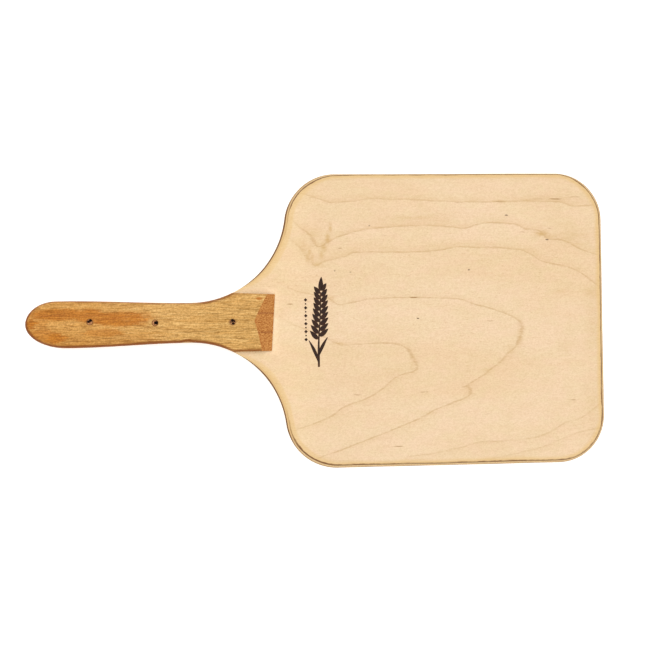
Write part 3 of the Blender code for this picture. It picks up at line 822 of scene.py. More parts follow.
def glue_finish(name):
    """Dark cured glue with a scorched, uneven tone."""
    m = Finish(name)
    at = m.stored("board_co", "Vector")
    tone = m.noise(at, (0.09, 0.09, 0.4), 4, 0.65, 0.3)
    colour = m.mix(m.span(tone, 0.35, 0.68), paint(84, 50, 24), paint(128, 84, 46))
    grit = m.noise(at, (1.8, 1.8, 2.0), 2, 0.6)
    colour = m.mix(m.span(grit, 0.5, 0.75, 0.0, 0.5), colour, paint(62, 36, 18))
    x, _, z = m.split(at)
    sanded = m.math("MULTIPLY", m.span(x, 277.0, 266.0, 0.0, 0.95), m.span(z, 1.5, 1.8))
    colour = m.mix(sanded, colour, paint(212, 172, 114))
    return m.finish(colour, m.span(grit, 0.3, 0.7, 0.42, 0.62), m.bump(grit, 0.3, 0.05), specular=0.4)


HANDLE_PATCHES = (
    (34.0, 9.8, 27.0, 5.6, 0.92), (66.3, 8.6, 15.0, 6.4, 0.92), (95.5, 4.6, 29.0, 6.8, 0.92),
    (31.0, -14.0, 9.0, 5.0, 0.90), (20.0, -10.0, 13.0, 5.0, 0.62), (80.0, -9.0, 18.0, 3.6, 0.55),
    (8.5, 0.5, 5.0, 5.0, 0.95), (17.6, 3.2, 6.5, 8.3, 0.40), (117.3, 8.9, 10.3, 2.4, 0.40),
)
CHIP = (237.6, 23.7, 3.4, 1.65)
HANDLE_TONE = (0.985, 0.992, 0.955, 1.0)


def hardwood_finish(name, patches, seed):
    """Open-grained straw-brown hardwood: fine dark pores, redder patches, ramp and edges."""
    m = Finish(name)
    at = m.stored("board_co", "Vector")
    x, y, z = m.split(at)
    rim, ramp, wall = m.stored("rim"), m.stored("ramp"), m.stored("wall")
    here = (seed, seed * 1.7, seed * 0.6)

    # Broad bands along the handle
    band = m.noise(at, (0.012, 0.17, 0.17), 3, 0.55, 0.5, here)
    colour = m.mix(m.span(band, 0.32, 0.68), paint(222, 174, 106), paint(210, 158, 88))
    fine = m.noise(at, (0.04, 0.95, 0.95), 4, 0.65, 0.1, (seed + 3.0, 1.0, 4.0))
    colour = m.mix(m.span(fine, 0.42, 0.66, 0.0, 0.48), colour, paint(178, 126, 60))
    light = m.noise(at, (0.065, 1.25, 1.25), 4, 0.7, 0.0, (seed + 9.0, 6.0, 2.0))
    colour = m.mix(m.span(light, 0.47, 0.63, 0.0, 0.66), colour, paint(238, 196, 130))

    # Warmer towards the butt, greyer olive where the handle widens
    to_butt = m.span(m.math("ADD", x, m.math("MULTIPLY", m.math("SUBTRACT", band, 0.5), 90.0)), 150.0, 35.0)
    colour = m.mix(m.math("MULTIPLY", to_butt, 0.58), colour, paint(208, 146, 68))
    middle = m.math("MULTIPLY", m.span(x, 150.0, 205.0), m.span(m.math("ABSOLUTE", y), 26.0, 6.0))
    olive = m.math("MULTIPLY", middle, m.span(fine, 0.40, 0.66))
    colour = m.mix(m.math("MULTIPLY", olive, 0.30), colour, paint(164, 134, 78))
    low_side = m.math("MULTIPLY", m.span(y, -5.0, -15.0), m.span(x, 150.0, 120.0))
    colour = m.mix(m.math("MULTIPLY", low_side, 0.45), colour, paint(186, 126, 54))

    # Redder patches with soft, streaky borders
    if patches:
        bent = m.vector("ADD", at, m.vector("MULTIPLY", m.drift(at), (20.0, 3.0, 0.0)))
        spots = []
        for px, py, half_x, half_y, amount in patches:
            off = m.vector("SUBTRACT", bent, (px, py, 0.0))
            off = m.vector("MULTIPLY", off, (1 / half_x, 1 / half_y, 0.0))
            spots.append(m.math("MULTIPLY", m.span(m.vector("LENGTH", off), 1.36, 0.78), amount))
        patch = m.math("MULTIPLY", m.most(spots), m.span(light, 0.76, 0.50, 0.60, 1.0))
        red = m.mix(m.span(fine, 0.38, 0.66), paint(198, 124, 38), paint(172, 98, 28))
        colour = m.mix(patch, colour, red)

    # Pores: short dark dashes along the grain, in crowded and bare bands
    crowd = m.noise(at, (0.02, 0.22, 0.22), 3, 0.6, 0.0, (seed, 8.0, 15.0))
    dashes = m.noise(at, (0.10, 1.45, 1.45), 1.0, 0.5, 0.0, (seed, 2.0, 21.0))
    pore = m.math("MULTIPLY", m.span(dashes, 0.55, 0.62), m.span(crowd, 0.36, 0.58, 0.45, 1.0))
    long_dashes = m.noise(at, (0.035, 1.25, 1.25), 1.0, 0.5, 0.0, (seed + 7.0, 4.0, 3.0))
    streak = m.math("MULTIPLY", m.span(long_dashes, 0.58, 0.65), m.span(crowd, 0.30, 0.60, 0.30, 1.0))
    to_wide = m.span(x, 120.0, 190.0)
    dark = m.mix(to_wide, paint(138, 80, 20), paint(134, 90, 30))
    colour = m.mix(m.math("MULTIPLY", pore, 0.62), colour, dark)
    colour = m.mix(m.math("MULTIPLY", streak, 0.52), colour, dark)
    speck = m.noise(at, (0.55, 0.72, 0.7), 2, 0.75, 0.0, (seed + 5.0, 14.0, 2.0))
    grit = m.mix(m.span(speck, 0.36, 0.64), (0.80, 0.77, 0.70, 1.0), (1.13, 1.14, 1.18, 1.0))
    colour = m.mix(1.0, colour, grit, "MULTIPLY")

    # The cut ramp shows redder wood, with fine level streaks and one dark streak near its middle
    mottled = m.noise(at, (0.26, 1.05, 1.05), 3, 0.7, 0.1, (seed, 31.0, 2.0))
    cut = m.mix(m.span(mottled, 0.38, 0.60), paint(160, 94, 38), paint(210, 148, 82))
    cut = m.mix(m.span(fine, 0.45, 0.62, 0.0, 0.65), cut, paint(158, 90, 36))
    cut = m.mix(m.math("MULTIPLY", m.span(light, 0.56, 0.66), 0.60), cut, paint(232, 174, 106))
    ragged_y = m.math("ADD", y, m.math("MULTIPLY", m.math("SUBTRACT", fine, 0.5), 3.0))
    streaks = [m.span(m.math("ABSOLUTE", m.math("SUBTRACT", ragged_y, middle)), 1.3, 0.3) for middle in (8.9, -10.9)]
    cut = m.mix(m.math("MULTIPLY", m.most(streaks), 0.50), cut, paint(132, 70, 34))
    colour = m.mix(m.span(ramp, 0.3, 0.7), colour, cut)

    # A pointed chip beside the ramp
    chip = m.vector("SUBTRACT", m.vector("ADD", at, m.vector("SCALE", m.drift(at), 1.0)), (CHIP[0], CHIP[1], 0.0))
    chip = m.vector("MULTIPLY", chip, (1 / CHIP[2], 1 / CHIP[3], 0.0))
    colour = m.mix(m.math("MULTIPLY", m.span(m.vector("LENGTH", chip), 1.30, 0.55), 0.85), colour, paint(180, 108, 40))

    # Edges rounded over and darkened by hands, with painted shade that reaches further in along the lower side, where
    # the rounding turns from the light; and the steep side walls
    ragged = m.math("MULTIPLY", m.math("SUBTRACT", m.noise(at, (0.06, 0.3, 0.3), 3, 0.6), 0.5), 3.0)
    shade_on_lower_side = m.span(y, 6.0, -12.0)
    reach = m.math("ADD", m.math("MULTIPLY_ADD", shade_on_lower_side, 1.5, 2.1), ragged)
    butt_reach = m.span(x, 16.0, 0.0, 0.0, 1.8)
    edge = m.span(m.math("SUBTRACT", rim, butt_reach), reach, m.math("SUBTRACT", reach, 1.9))
    edge = m.math("MULTIPLY", edge, m.span(ramp, 0.7, 0.3))
    edge_brown_and_shade = m.mix(m.span(light, 0.4, 0.7), paint(130, 70, 20), paint(172, 104, 38))
    at_head = m.span(x, 198.0, 206.0)
    edge_brown_and_shade_share = m.math("MULTIPLY", edge, m.math("MULTIPLY_ADD", at_head, -0.45, 0.88))
    colour = m.mix(edge_brown_and_shade_share, colour, edge_brown_and_shade)
    colour = m.mix(m.math("MULTIPLY", wall, 0.85), colour, paint(132, 80, 32))
    # A brown line near the edge: painted shade along the lower edge, where the rounding turns from the light; round the
    # butt, where hands have worn the finish; and a short stretch on both sides where the handle widens
    edge_line_shade_and_wear = m.math("MULTIPLY", m.span(m.math("ABSOLUTE", m.math("SUBTRACT", rim, m.math("MULTIPLY_ADD", ragged, 0.25, 1.4))), m.span(x, 100.0, 130.0, 1.2, 2.5), 0.2), m.most([shade_on_lower_side, m.span(x, 20.0, 6.0), m.math("MULTIPLY", m.span(x, 168.0, 182.0), m.span(x, 222.0, 206.0))]))
    edge_line_shade_and_wear = m.math("MULTIPLY", edge_line_shade_and_wear, m.math("MULTIPLY", m.span(ramp, 0.5, 0.2), m.span(dashes, 0.35, 0.60, 0.45, 1.0)))
    colour = m.mix(m.math("MULTIPLY", edge_line_shade_and_wear, 0.80), colour, paint(122, 62, 14))
    # Painted shade along the foot of the scale's wall, in the crease where it meets the board
    low = m.span(m.math("ABSOLUTE", z), SCALE_BASE + 0.7, SCALE_BASE)
    colour = m.mix(m.math("MULTIPLY", low, 0.35), colour, paint(104, 62, 28))

    # Grime round the screws, on the side that shows their heads, and painted shade on the sloping wall of each
    # countersink
    on_top = m.span(z, -0.5, 0.5)
    near = []
    for sx, sy, _ in SCREW_PLACES.values():
        off = m.vector("MULTIPLY", m.vector("SUBTRACT", at, (sx, sy, 0.0)), (0.82, 1.0, 0.0))
        near.append(m.span(m.vector("LENGTH", off), 4.6, 2.9))
    grime = m.math("MULTIPLY", m.math("MULTIPLY", m.most(near), on_top), m.span(dashes, 0.40, 0.62, 0.25, 0.9))
    colour = m.mix(m.math("MULTIPLY", grime, 0.45), colour, paint(124, 74, 32))
    # Painted shade on the countersink's sloping wall, round the sunk head
    hole = m.most([m.span(m.vector("LENGTH", m.vector("MULTIPLY", m.vector("SUBTRACT", at, (sx, sy, 0.0)), (1.0, 1.0, 0.0))), 3.32, 3.20) for sx, sy, _ in SCREW_PLACES.values()])
    hole = m.math("MULTIPLY", hole, on_top)
    colour = m.mix(m.math("MULTIPLY", hole, 0.45), colour, paint(132, 82, 40))

    colour = m.mix(1.0, colour, HANDLE_TONE, "MULTIPLY")

    rough = m.math("ADD", m.span(fine, 0.3, 0.75, 0.44, 0.60), m.math("MULTIPLY", pore, 0.15))
    height = m.math("ADD", m.math("MULTIPLY", fine, 0.5), m.math("MULTIPLY", m.math("ADD", pore, streak), -0.7))
    height = m.math("ADD", height, m.math("MULTIPLY", m.math("MULTIPLY", mottled, ramp), 0.5))
    return m.finish(colour, rough, m.bump(height, 0.55, 0.16), specular=0.14)


# Dark spots on the heads, grime with painted shade in the cross recess and in the gap beside the sunk head: (x, y, half
# length, half width)
HEAD_GRIME_AND_SHADE = (
    (67.5, 3.5, 1.75, 1.45), (65.0, 2.2, 1.05, 1.35),
    (133.3, 0.3, 1.95, 1.90), (131.5, 0.0, 0.5, 2.0),
    (209.9, 1.9, 1.65, 1.40), (211.8, 0.7, 0.90, 1.30), (210.8, -1.7, 1.70, 0.90), (208.4, 0.0, 0.7, 0.8),
)


def steel_finish(name):
    """Dull plated steel browned by age, with dark grime and painted shade in the recess and beside the head, and worn
    bright spots.
    """
    m = Finish(name)
    at = m.stored("board_co", "Vector")
    depth = m.stored("depth")
    scuffs = m.noise(at, (1.3, 2.6, 1.0), 3, 0.6, 0.5)
    colour = m.mix(m.span(scuffs, 0.35, 0.65), paint(156, 102, 58), paint(204, 156, 110))
    rust = m.noise(at, (0.9, 0.9, 0.9), 4, 0.7, 0.4, (5.0, 1.0, 2.0))
    stained = m.span(rust, 0.42, 0.58)
    colour = m.mix(m.math("MULTIPLY", stained, 0.75), colour, paint(156, 92, 48))
    bent = m.vector("ADD", at, m.vector("SCALE", m.drift(at), 0.5))
    spots = []
    for x, y, half_x, half_y in HEAD_GRIME_AND_SHADE:
        off = m.vector("MULTIPLY", m.vector("SUBTRACT", bent, (x, y, 0.0)), (1 / half_x, 1 / half_y, 0.0))
        spots.append(m.span(m.vector("LENGTH", off), 1.15, 0.80))
    # Grime and painted shade: darker the deeper in the recess, and at the listed spots
    grime_and_shade = m.math("MAXIMUM", m.span(depth, 0.15, 0.7, 0.0, 0.8), m.most(spots))
    colour = m.mix(grime_and_shade, colour, paint(22, 8, 6))
    clean = m.math("SUBTRACT", 1.0, m.math("MAXIMUM", m.math("MULTIPLY", stained, 0.7), grime_and_shade))
    rough = m.math("MULTIPLY_ADD", clean, -0.25, 0.75)
    specular = m.math("MULTIPLY_ADD", clean, 0.25, 0.05)
    return m.finish(colour, rough, m.bump(scuffs, 0.25, 0.05), m.math("MULTIPLY", clean, 0.45), specular)


def ink_finish(name):
    """Dark brown stamp burnt into the face, thin at its edges and where the grain shows."""
    m = Finish(name)
    at = m.stored("board_co", "Vector")
    grain = m.noise(at, (0.10, 1.6, 1.0), 4, 0.7)
    specks = m.noise(at, (1.5, 1.5, 1.0), 3, 0.7, 0.0, (4.0, 2.0, 1.0))
    colour = m.mix(m.span(grain, 0.40, 0.66), paint(34, 20, 14), paint(62, 36, 20))
    thin = m.math("MULTIPLY", m.span(specks, 0.60, 0.74), m.span(grain, 0.40, 0.6, 0.3, 1.0))
    colour = m.mix(m.math("MULTIPLY", thin, 0.5), colour, paint(128, 86, 50))
    scorched = m.span(m.stored("edge"), 0.0, 1.0, 0.45, 0.0)
    colour = m.mix(scorched, colour, paint(104, 62, 32))
    return m.finish(colour, m.span(grain, 0.3, 0.7, 0.62, 0.80), m.bump(grain, 0.3, 0.05), specular=0.25)


# ---------------------------------------------------------------- the board


def veneer_piece(name, node, figure, finish, mirrored, pitch):
    """The outer veneer of one face, with its growth-ring figure stored on its points."""
    low = BOARD_HALF - PLY
    side_reach = REACH_UNDER if mirrored else REACH
    made = [ring_by_share(t, low + 0.001, side_reach) for t in np.linspace(0, 1, 12)]
    rings, shares = [r for r, _ in made], [s for _, s in made]
    inner = inner_points(rings[-1], pitch, 232.0)
    points, faces = plate(rings, inner)
    rim = np.full(len(points), 3.0)
    edge_points = len(OUTLINE) * len(rings)
    rim[:edge_points] = np.concatenate(shares)
    start = len(points) - len(inner)
    # Past the rounding, rim goes on growing with the distance in from it.
    local = distance_in(inner, rings[-1][:, :2])
    rim[start:] = 1 + local / 7.2
    ring, slope, strength, stain, tip = figure(points[:, :2])
    if mirrored:
        points = points * [1, 1, -1]
        faces = [tuple(face)[::-1] for face in faces]
    piece = mesh_object(name, points, faces, 40.0)
    for key, values in (("ring", ring), ("slope", slope), ("strength", strength), ("stain", stain), ("tip", tip), ("rim", rim)):
        set_values(piece, key, values)
    return settle(piece, finish, (node,))


def layer_piece(name, node, low, high, finish):
    """A flat layer of the board between two heights, its edge following the rounding."""
    heights = np.linspace(low, high, 5) if high - low > 0.5 else (low, high)
    rings = [ring_at(z)[0] for z in heights]
    points, faces = plate(rings, np.zeros((0, 2)))
    return settle(mesh_object(name, points, faces, 40.0), finish, (node,) if node else ())


VENEER_FACE = veneer_finish("maple_face_grain", FACE_FLECKS, 2.0)
VENEER_BACK = veneer_finish("maple_back_grain", (), 23.0)
CROSSBAND = ply_finish("crossband_edge_grain", paint(222, 192, 146), paint(198, 162, 112), "y", 3.0)
CORE = ply_finish("core_edge_grain", paint(214, 180, 132), paint(188, 150, 102), "x", 8.0)
GLUE_LINE = glue_finish("cured_glue")

veneer_piece("maple_face", "face_veneer", face_figure, VENEER_FACE, False, 1.6)
veneer_piece("maple_back", "back_veneer", back_figure, VENEER_BACK, True, 2.6)
layer_piece("crossband_upper", "upper_crossband", 0.76, 1.88, CROSSBAND)
layer_piece("core", "core_ply", -0.56, 0.56, CORE)
layer_piece("crossband_lower", "lower_crossband", -1.88, -0.76, CROSSBAND)
for name, low in (("face_glue", 1.88), ("upper_core_glue", 0.56), ("lower_core_glue", -0.76), ("back_glue", -2.08)):
    layer_piece(name, None, low + 0.004, low + GLUE - 0.004, GLUE_LINE)


# ---------------------------------------------------------------- the handle's scales


def scale_half_width(x, side):
    """Half width of a scale. A worn flat shows a sliver of the tang beside the waist."""
    worn = 1.05 * math.exp(-(((x - 163.5) / 5.5) ** 4)) if side < 0 else 0.0
    if x <= SCALE_HEAD_X - 12:
        return board_half_width(x, side) - worn
    start, end = SCALE_HEAD_HALF[side]
    straight = start + (end - start) * (x - SCALE_HEAD_X) / (SCALE_END_X - SCALE_HEAD_X)
    return min(board_half_width(min(x, WAIST_X + NECK_R[side] * 0.9), side), straight)


def crown(y, half):
    """Height of the crowned top, never above the CAD piece's flat middle."""
    return SCALE_RISE - SCALE_CROWN * (np.hypot(y, 0.2 * half) / CROWN_WIDTH) ** CROWN_POWER


def eased(distance, radius):
    inside = np.maximum(0.0, radius - distance)
    return radius - np.sqrt(np.maximum(0.0, radius * radius - inside * inside))


def scale_height(x, y, half, outline_gap, seed):
    to_head = smooth_step(SCALE_HEAD_X - 16, SCALE_HEAD_X + 4, x)
    to_butt = 1 - smooth_step(12, 55, x)
    radius = SCALE_EDGE_R + (BUTT_EDGE_R - SCALE_EDGE_R) * to_butt
    by_outline = eased(outline_gap, radius) * (1 - to_head)
    by_side = eased(half - np.abs(y), HEAD_EDGE_R) * to_head
    # Slight flats and hollows left by shaping it by hand
    uneven = 0.10 + 0.055 * np.sin(x / 17.0 + seed) + 0.035 * np.sin(x / 8.3 + y / 6.1 + 2 * seed)
    return crown(y, half) - by_outline - by_side - uneven


ACROSS = np.sin(np.linspace(-math.pi / 2, math.pi / 2, 65))


def scale_rows(seed):
    """Rows of (x, y, height, distance to outline, on the ramp) from the butt to the ramp's foot."""
    plan = []
    for i in range(1, 27):
        share = 1 - math.cos(math.pi / 2 * i / 26)
        row = []
        for v in ACROSS:
            side = 1 if v > 0 else -1
            end = BUTT_END[1] * (1 - abs(v)) + BUTT_END[side] * abs(v)
            x = BUTT_TIP + (end - BUTT_TIP) * share
            half = handle_half_width(x, side)
            row.append((x, v * half, half, 0.0))
        plan.append(row)
    for x in np.concatenate([np.arange(44, 196, 2.0), np.arange(196, SCALE_HEAD_X + 0.1, 0.8)]):
        plan.append([(x, v * scale_half_width(x, 1 if v > 0 else -1), scale_half_width(x, 1 if v > 0 else -1), 0.0) for v in ACROSS])
    ramp = []
    for v in ACROSS:
        side = 1 if v > 0 else -1
        foot_y = v * scale_half_width(SCALE_END_X, side)
        foot_x = SCALE_END_X + SCALE_END_SKEW * foot_y
        ramp.append((foot_x - RAMP_LENGTH + RAMP_SHORTENS[side] * abs(v) ** RAMP_BOW[side], foot_x, foot_y, side))
    for t in np.linspace(0, 1, 13)[1:]:
        row = []
        for v, (top_x, _, _, side) in zip(ACROSS, ramp):
            x = SCALE_HEAD_X + (top_x - SCALE_HEAD_X) * t
            half = scale_half_width(x, side)
            row.append((x, v * half, half, 0.0))
        plan.append(row)
    flat = np.array(plan).reshape(-1, 4)
    gap = distance_in(flat[:, :2], OUTLINE)
    height = scale_height(flat[:, 0], flat[:, 1], flat[:, 2], gap, seed)
    rows = np.column_stack([flat[:, :2], height, np.minimum(gap, flat[:, 2] - np.abs(flat[:, 1]) + 0.2), flat[:, 3]])
    rows = list(rows.reshape(len(plan), len(ACROSS), 5))
    top = rows[-1]
    for t in (0.02,) + tuple(np.linspace(0, 1, 13)[1:]):
        row = []
        for (x, y, h, d, _), (_, foot_x, foot_y, side) in zip(top, ramp):
            sag = 0.25 * math.sin(math.pi * t) * (0.6 + 0.4 * math.sin(y / 5.0 + seed))
            row.append((x + (foot_x - x) * t, y + (foot_y - y) * t, h + (RAMP_TOE - h) * t - sag, d, 1.0))
        rows.append(np.array(row))
    return rows


def scale_piece(name, node, finish, upper, seed):
    rows = scale_rows(seed)
    tip_height = float(scale_height(np.array(BUTT_TIP), np.array(0.0), 1.0, np.array(0.0), seed))
    grid = np.concatenate(rows)
    across, count = len(ACROSS), len(rows)
    top = np.column_stack([grid[:, 0], grid[:, 1], SCALE_BASE + np.maximum(grid[:, 2], 0.35)])
    points = [top, [(BUTT_TIP, 0.0, SCALE_BASE + tip_height)]]
    tip = len(top)
    faces = []
    for k in range(count - 1):
        for i in range(across - 1):
            a, b = k * across + i, (k + 1) * across + i
            faces.append((a, b, b + 1, a + 1))
    for i in range(across - 1):
        faces.append((tip, i, i + 1))
    rim = [tip] + [k * across for k in range(count)]
    rim += [(count - 1) * across + i for i in range(1, across)]
    rim += [k * across + across - 1 for k in range(count - 2, -1, -1)]
    every = np.concatenate(points)
    start = len(every)
    levels = 3
    for level in range(1, levels + 1):
        ring = every[rim].copy()
        share = level / levels
        ring[:, 2] = ring[:, 2] + (SCALE_BASE - ring[:, 2]) * share
        points.append(ring)
    size = len(rim)
    above = rim
    for level in range(levels):
        below = [start + level * size + i for i in range(size)]
        for i in range(size):
            j = (i + 1) % size
            faces.append((below[i], below[j], above[j], above[i]))
        above = below
    faces.append(above[::-1])
    points = np.concatenate(points)
    if not upper:
        points = points * [1, 1, -1]
        faces = [tuple(face)[::-1] for face in faces]
    piece = mesh_object(name, points, faces, 24.0)
    set_values(piece, "rim", np.concatenate([grid[:, 3], [0.0], np.zeros(size * levels)]))
    set_values(piece, "ramp", np.concatenate([grid[:, 4], [0.0], np.zeros(size * levels)]))
    set_values(piece, "wall", np.concatenate([np.zeros(len(grid) + 1), np.ones(size * levels)]))
    profiles = []
    if upper:
        seat = HEAD_TOP
        profiles = [
            (HOLE_R, SCALE_BASE - 1),
            (HOLE_R, seat - HEAD_RIM - HEAD_CONE + (HOLE_R - SHANK_R - FIT)),
            (HEAD_R + FIT, seat - HEAD_RIM - 0.1),
            (HEAD_R + FIT, seat - 0.15),
            (HEAD_R + FIT + 0.35, seat + 0.6),
            (HEAD_R + FIT + 0.35, seat + 3),
        ]
    else:
        bottom = HEAD_TOP - SCREW_LENGTH - 0.6
        profiles = [(0.0, bottom), (HOLE_R, bottom + POINT_LENGTH * 0.5), (HOLE_R, -SCALE_BASE + 1)]
    cut_by(piece, turned("cutter", profiles, 48, [(x, y) for x, y, _ in SCREW_PLACES.values()]), 24.0)
    return settle(piece, finish, (node,))


def turned(name, profile, sides, places=((0.0, 0.0),)):
    """Closed turned bodies from (radius, z) pairs, lowest first, at each place."""
    points, faces = [], []
    for cx, cy in places:
        rings = []
        for r, z in profile:
            first = len(points)
            if r <= 0:
                points.append((cx, cy, z))
                rings.append([first])
                continue
            for i in range(sides):
                a = 2 * math.pi * i / sides
                points.append((cx + r * math.cos(a), cy + r * math.sin(a), z))
            rings.append(list(range(first, first + sides)))
        for lower, upper in zip(rings, rings[1:]):
            for i in range(sides):
                j = (i + 1) % sides
                if len(lower) == 1:
                    faces.append((lower[0], upper[j], upper[i]))
                elif len(upper) == 1:
                    faces.append((lower[i], lower[j], upper[0]))
                else:
                    faces.append((lower[i], lower[j], upper[j], upper[i]))
        if len(rings[-1]) > 1:
            faces.append(rings[-1])
        if len(rings[0]) > 1:
            faces.append(rings[0][::-1])
    return mesh_object(name, points, faces)


HARDWOOD_UPPER = hardwood_finish("handle_upper_grain", HANDLE_PATCHES, 1.0)
HARDWOOD_LOWER = hardwood_finish("handle_lower_grain", ((60.0, 5.0, 34.0, 6.0, 0.5), (170.0, -6.0, 26.0, 5.0, 0.4)), 14.0)
scale_piece("upper_grip", "handle_upper_scale", HARDWOOD_UPPER, True, 0.7)
scale_piece("lower_grip", "handle_lower_scale", HARDWOOD_LOWER, False, 3.1)


def scale_glue(name, low):
    """Glue between a scale and the tang, held a little inside the scale's outline."""
    rows = [[(x, y) for x, y, _, _, _ in row] for row in scale_rows(0.0)]
    rim = [(BUTT_TIP, 0.0)] + [row[0] for row in rows] + rows[-1][1:] + [row[-1] for row in rows[-2::-1]]
    kept = [rim[0]]
    for point in rim[1:]:
        if math.dist(point, kept[-1]) > 0.8 and math.dist(point, rim[0]) > 0.6:
            kept.append(point)
    rim = np.array(kept)
    along = np.roll(rim, -1, axis=0) - np.roll(rim, 1, axis=0)
    normal = np.column_stack([along[:, 1], -along[:, 0]])
    normal /= np.maximum(np.linalg.norm(normal, axis=1), 1e-9)[:, None]
    rim = rim - normal * 0.06
    rings = [np.column_stack([rim, np.full(len(rim), z)]) for z in (low + 0.004, low + GLUE - 0.004)]
    points, faces = plate(rings, np.zeros((0, 2)))
    return settle(mesh_object(name, points, faces, 40.0), GLUE_LINE)


scale_glue("upper_grip_glue", BOARD_HALF)
scale_glue("lower_grip_glue", -SCALE_BASE)


# ---------------------------------------------------------------- screws


def thread_radius(angle, z):
    from_point = z + SCREW_LENGTH
    ridge = 1 - 2.6 * abs(((z / THREAD_PITCH - angle / (2 * math.pi)) % 1.0) - 0.5)
    start = float(smooth_step(0.0, POINT_LENGTH, from_point))
    end = 1 - float(smooth_step(THREAD_LENGTH - 1.5, THREAD_LENGTH, from_point))
    core = ROOT_R * min(1.0, 0.12 + 0.88 * from_point / POINT_LENGTH)
    core += (SHANK_R - ROOT_R) * (1 - end)
    return core + (THREAD_R - ROOT_R) * max(0.0, ridge) * min(start * 1.6, 1.0) * end


def screw_piece(node, finish):
    """Flat-head screw: tapered thread, plain shank, and a head with a worn cross recess."""
    cx, cy, turn = SCREW_PLACES[node]
    sides, rings = 36, []
    levels = int(THREAD_LENGTH / (THREAD_PITCH / 10))
    for k in range(1, levels + 1):
        z = -SCREW_LENGTH + THREAD_LENGTH * k / levels
        rings.append([(thread_radius(2 * math.pi * i / sides, z), z) for i in range(sides)])
    for r, z in (
        (SHANK_R, -HEAD_RIM - HEAD_CONE - 0.25),
        (SHANK_R + 0.06, -HEAD_RIM - HEAD_CONE),
        (HEAD_R - 0.04, -HEAD_RIM - 0.02),
        (HEAD_R, -HEAD_RIM + 0.05),
        (HEAD_R, -0.08),
        (HEAD_R - 0.08, -0.015),
        (HEAD_R - 0.25, -0.004),
        (2.1, -0.004),
    ):
        rings.append([(r, z)] * sides)
    points = [(0.0, 0.0, -SCREW_LENGTH)]
    for ring in rings:
        for i, (r, z) in enumerate(ring):
            a = 2 * math.pi * i / sides
            points.append((r * math.cos(a), r * math.sin(a), z))
    faces = [(0, 1 + (i + 1) % sides, 1 + i) for i in range(sides)]
    for k in range(len(rings) - 1):
        for i in range(sides):
            a, j = 1 + k * sides, (i + 1) % sides
            faces.append((a + i, a + j, a + sides + j, a + sides + i))
    last = 1 + (len(rings) - 1) * sides
    faces.append([last + i for i in range(sides)])
    piece = mesh_object("steel_" + node, points, faces, 40.0)
    rings = []
    for arm, half, z in ((0.28, 0.15, -1.5), (0.50, 0.22, -1.35), (1.75, 0.42, 0.6)):
        ring = []
        for q in range(4):
            c, s = math.cos(math.pi / 2 * q), math.sin(math.pi / 2 * q)
            for x, y in ((half, half), (half, arm), (-half, arm)):
                ring.append((x * c - y * s, x * s + y * c, z))
        rings.append(ring)
    star, star_faces = [p for ring in rings for p in ring], []
    for k in range(2):
        for i in range(12):
            j = (i + 1) % 12
            star_faces.append((k * 12 + i, k * 12 + j, (k + 1) * 12 + j, (k + 1) * 12 + i))
    star_faces += [list(range(24, 36)), list(range(12))[::-1]]
    cut_by(piece, mesh_object("recess", star, star_faces), 40.0)
    piece.data.transform(Matrix.Translation((cx, cy, HEAD_TOP)) @ Matrix.Rotation(math.radians(turn), 4, "Z"))
    local = points_of(piece)
    away = np.hypot(local[:, 0] - cx, local[:, 1] - cy)
    below = HEAD_TOP - local[:, 2]
    depth = np.where((away < 2.2) & (below < 1.9), below, 0.0)
    set_values(piece, "depth", depth)
    return settle(piece, finish, (node,))


STEEL = steel_finish("dull_screw_steel")
for node in SCREW_PLACES:
    screw_piece(node, STEEL)


# ---------------------------------------------------------------- stamped ornament


def blob(outline, low, high):
    """Low-domed closed body over an outline."""
    count = len(outline)
    middle = outline.mean(0)
    inner = middle + (outline - middle) * 0.80
    points = [np.column_stack([outline, np.full(count, low)]), np.column_stack([outline, np.full(count, high - 0.02)])]
    points += [np.column_stack([inner, np.full(count, high)]), [(middle[0], middle[1], high)]]
    faces = []
    for i in range(count):
        j = (i + 1) % count
        faces.append((i, j, count + j, count + i))
        faces.append((count + i, count + j, 2 * count + j, 2 * count + i))
        faces.append((2 * count + i, 2 * count + j, 3 * count))
    faces.append(list(range(count))[::-1])
    edge = np.concatenate([np.zeros(2 * count), np.ones(count + 1)])
    return np.concatenate(points), faces, edge


def leaf(x, y, angle, length, width):
    """Outline of a grain: pointed at its far end and round at its near end."""
    t = np.linspace(0, 1, 13)
    half = width / 2 * np.sin(np.pi * t**0.72) ** 0.8
    u = np.concatenate([t * length, t[-2:0:-1] * length])
    v = np.concatenate([-half, half[-2:0:-1]])
    c, s = math.cos(angle), math.sin(angle)
    return np.column_stack([x + u * c - v * s, y + u * s + v * c])


def ribbon(line, widths):
    """Outline of a stroke along a line."""
    line = np.array(line)
    step = np.gradient(line, axis=0)
    side = np.column_stack([-step[:, 1], step[:, 0]]) / np.linalg.norm(step, axis=1)[:, None]
    widths = np.array(widths)[:, None] / 2
    return np.concatenate([line - side * widths, (line + side * widths)[::-1]])


def ornament(name, outlines):
    points, faces, edge, at = [], [], [], 0
    for outline in outlines:
        made, made_faces, made_edge = blob(outline, BOARD_HALF + 0.002, BOARD_HALF + 0.06)
        points.append(made)
        faces += [[i + at for i in face] for face in made_faces]
        edge.append(made_edge)
        at += len(made)
    piece = mesh_object(name, np.concatenate(points), faces, 40.0)
    set_values(piece, "edge", np.concatenate(edge))
    return settle(piece, INK)


INK = ink_finish("stamp_ink")

# An ear of wheat along the blade's width, with a row of lozenges beside it
strokes = []
stem_y = np.linspace(-47.5, 30.0, 40)


def stem_at(y):
    return 299.8 + 1.5 * np.sin((y + 6.0) / 19.0)


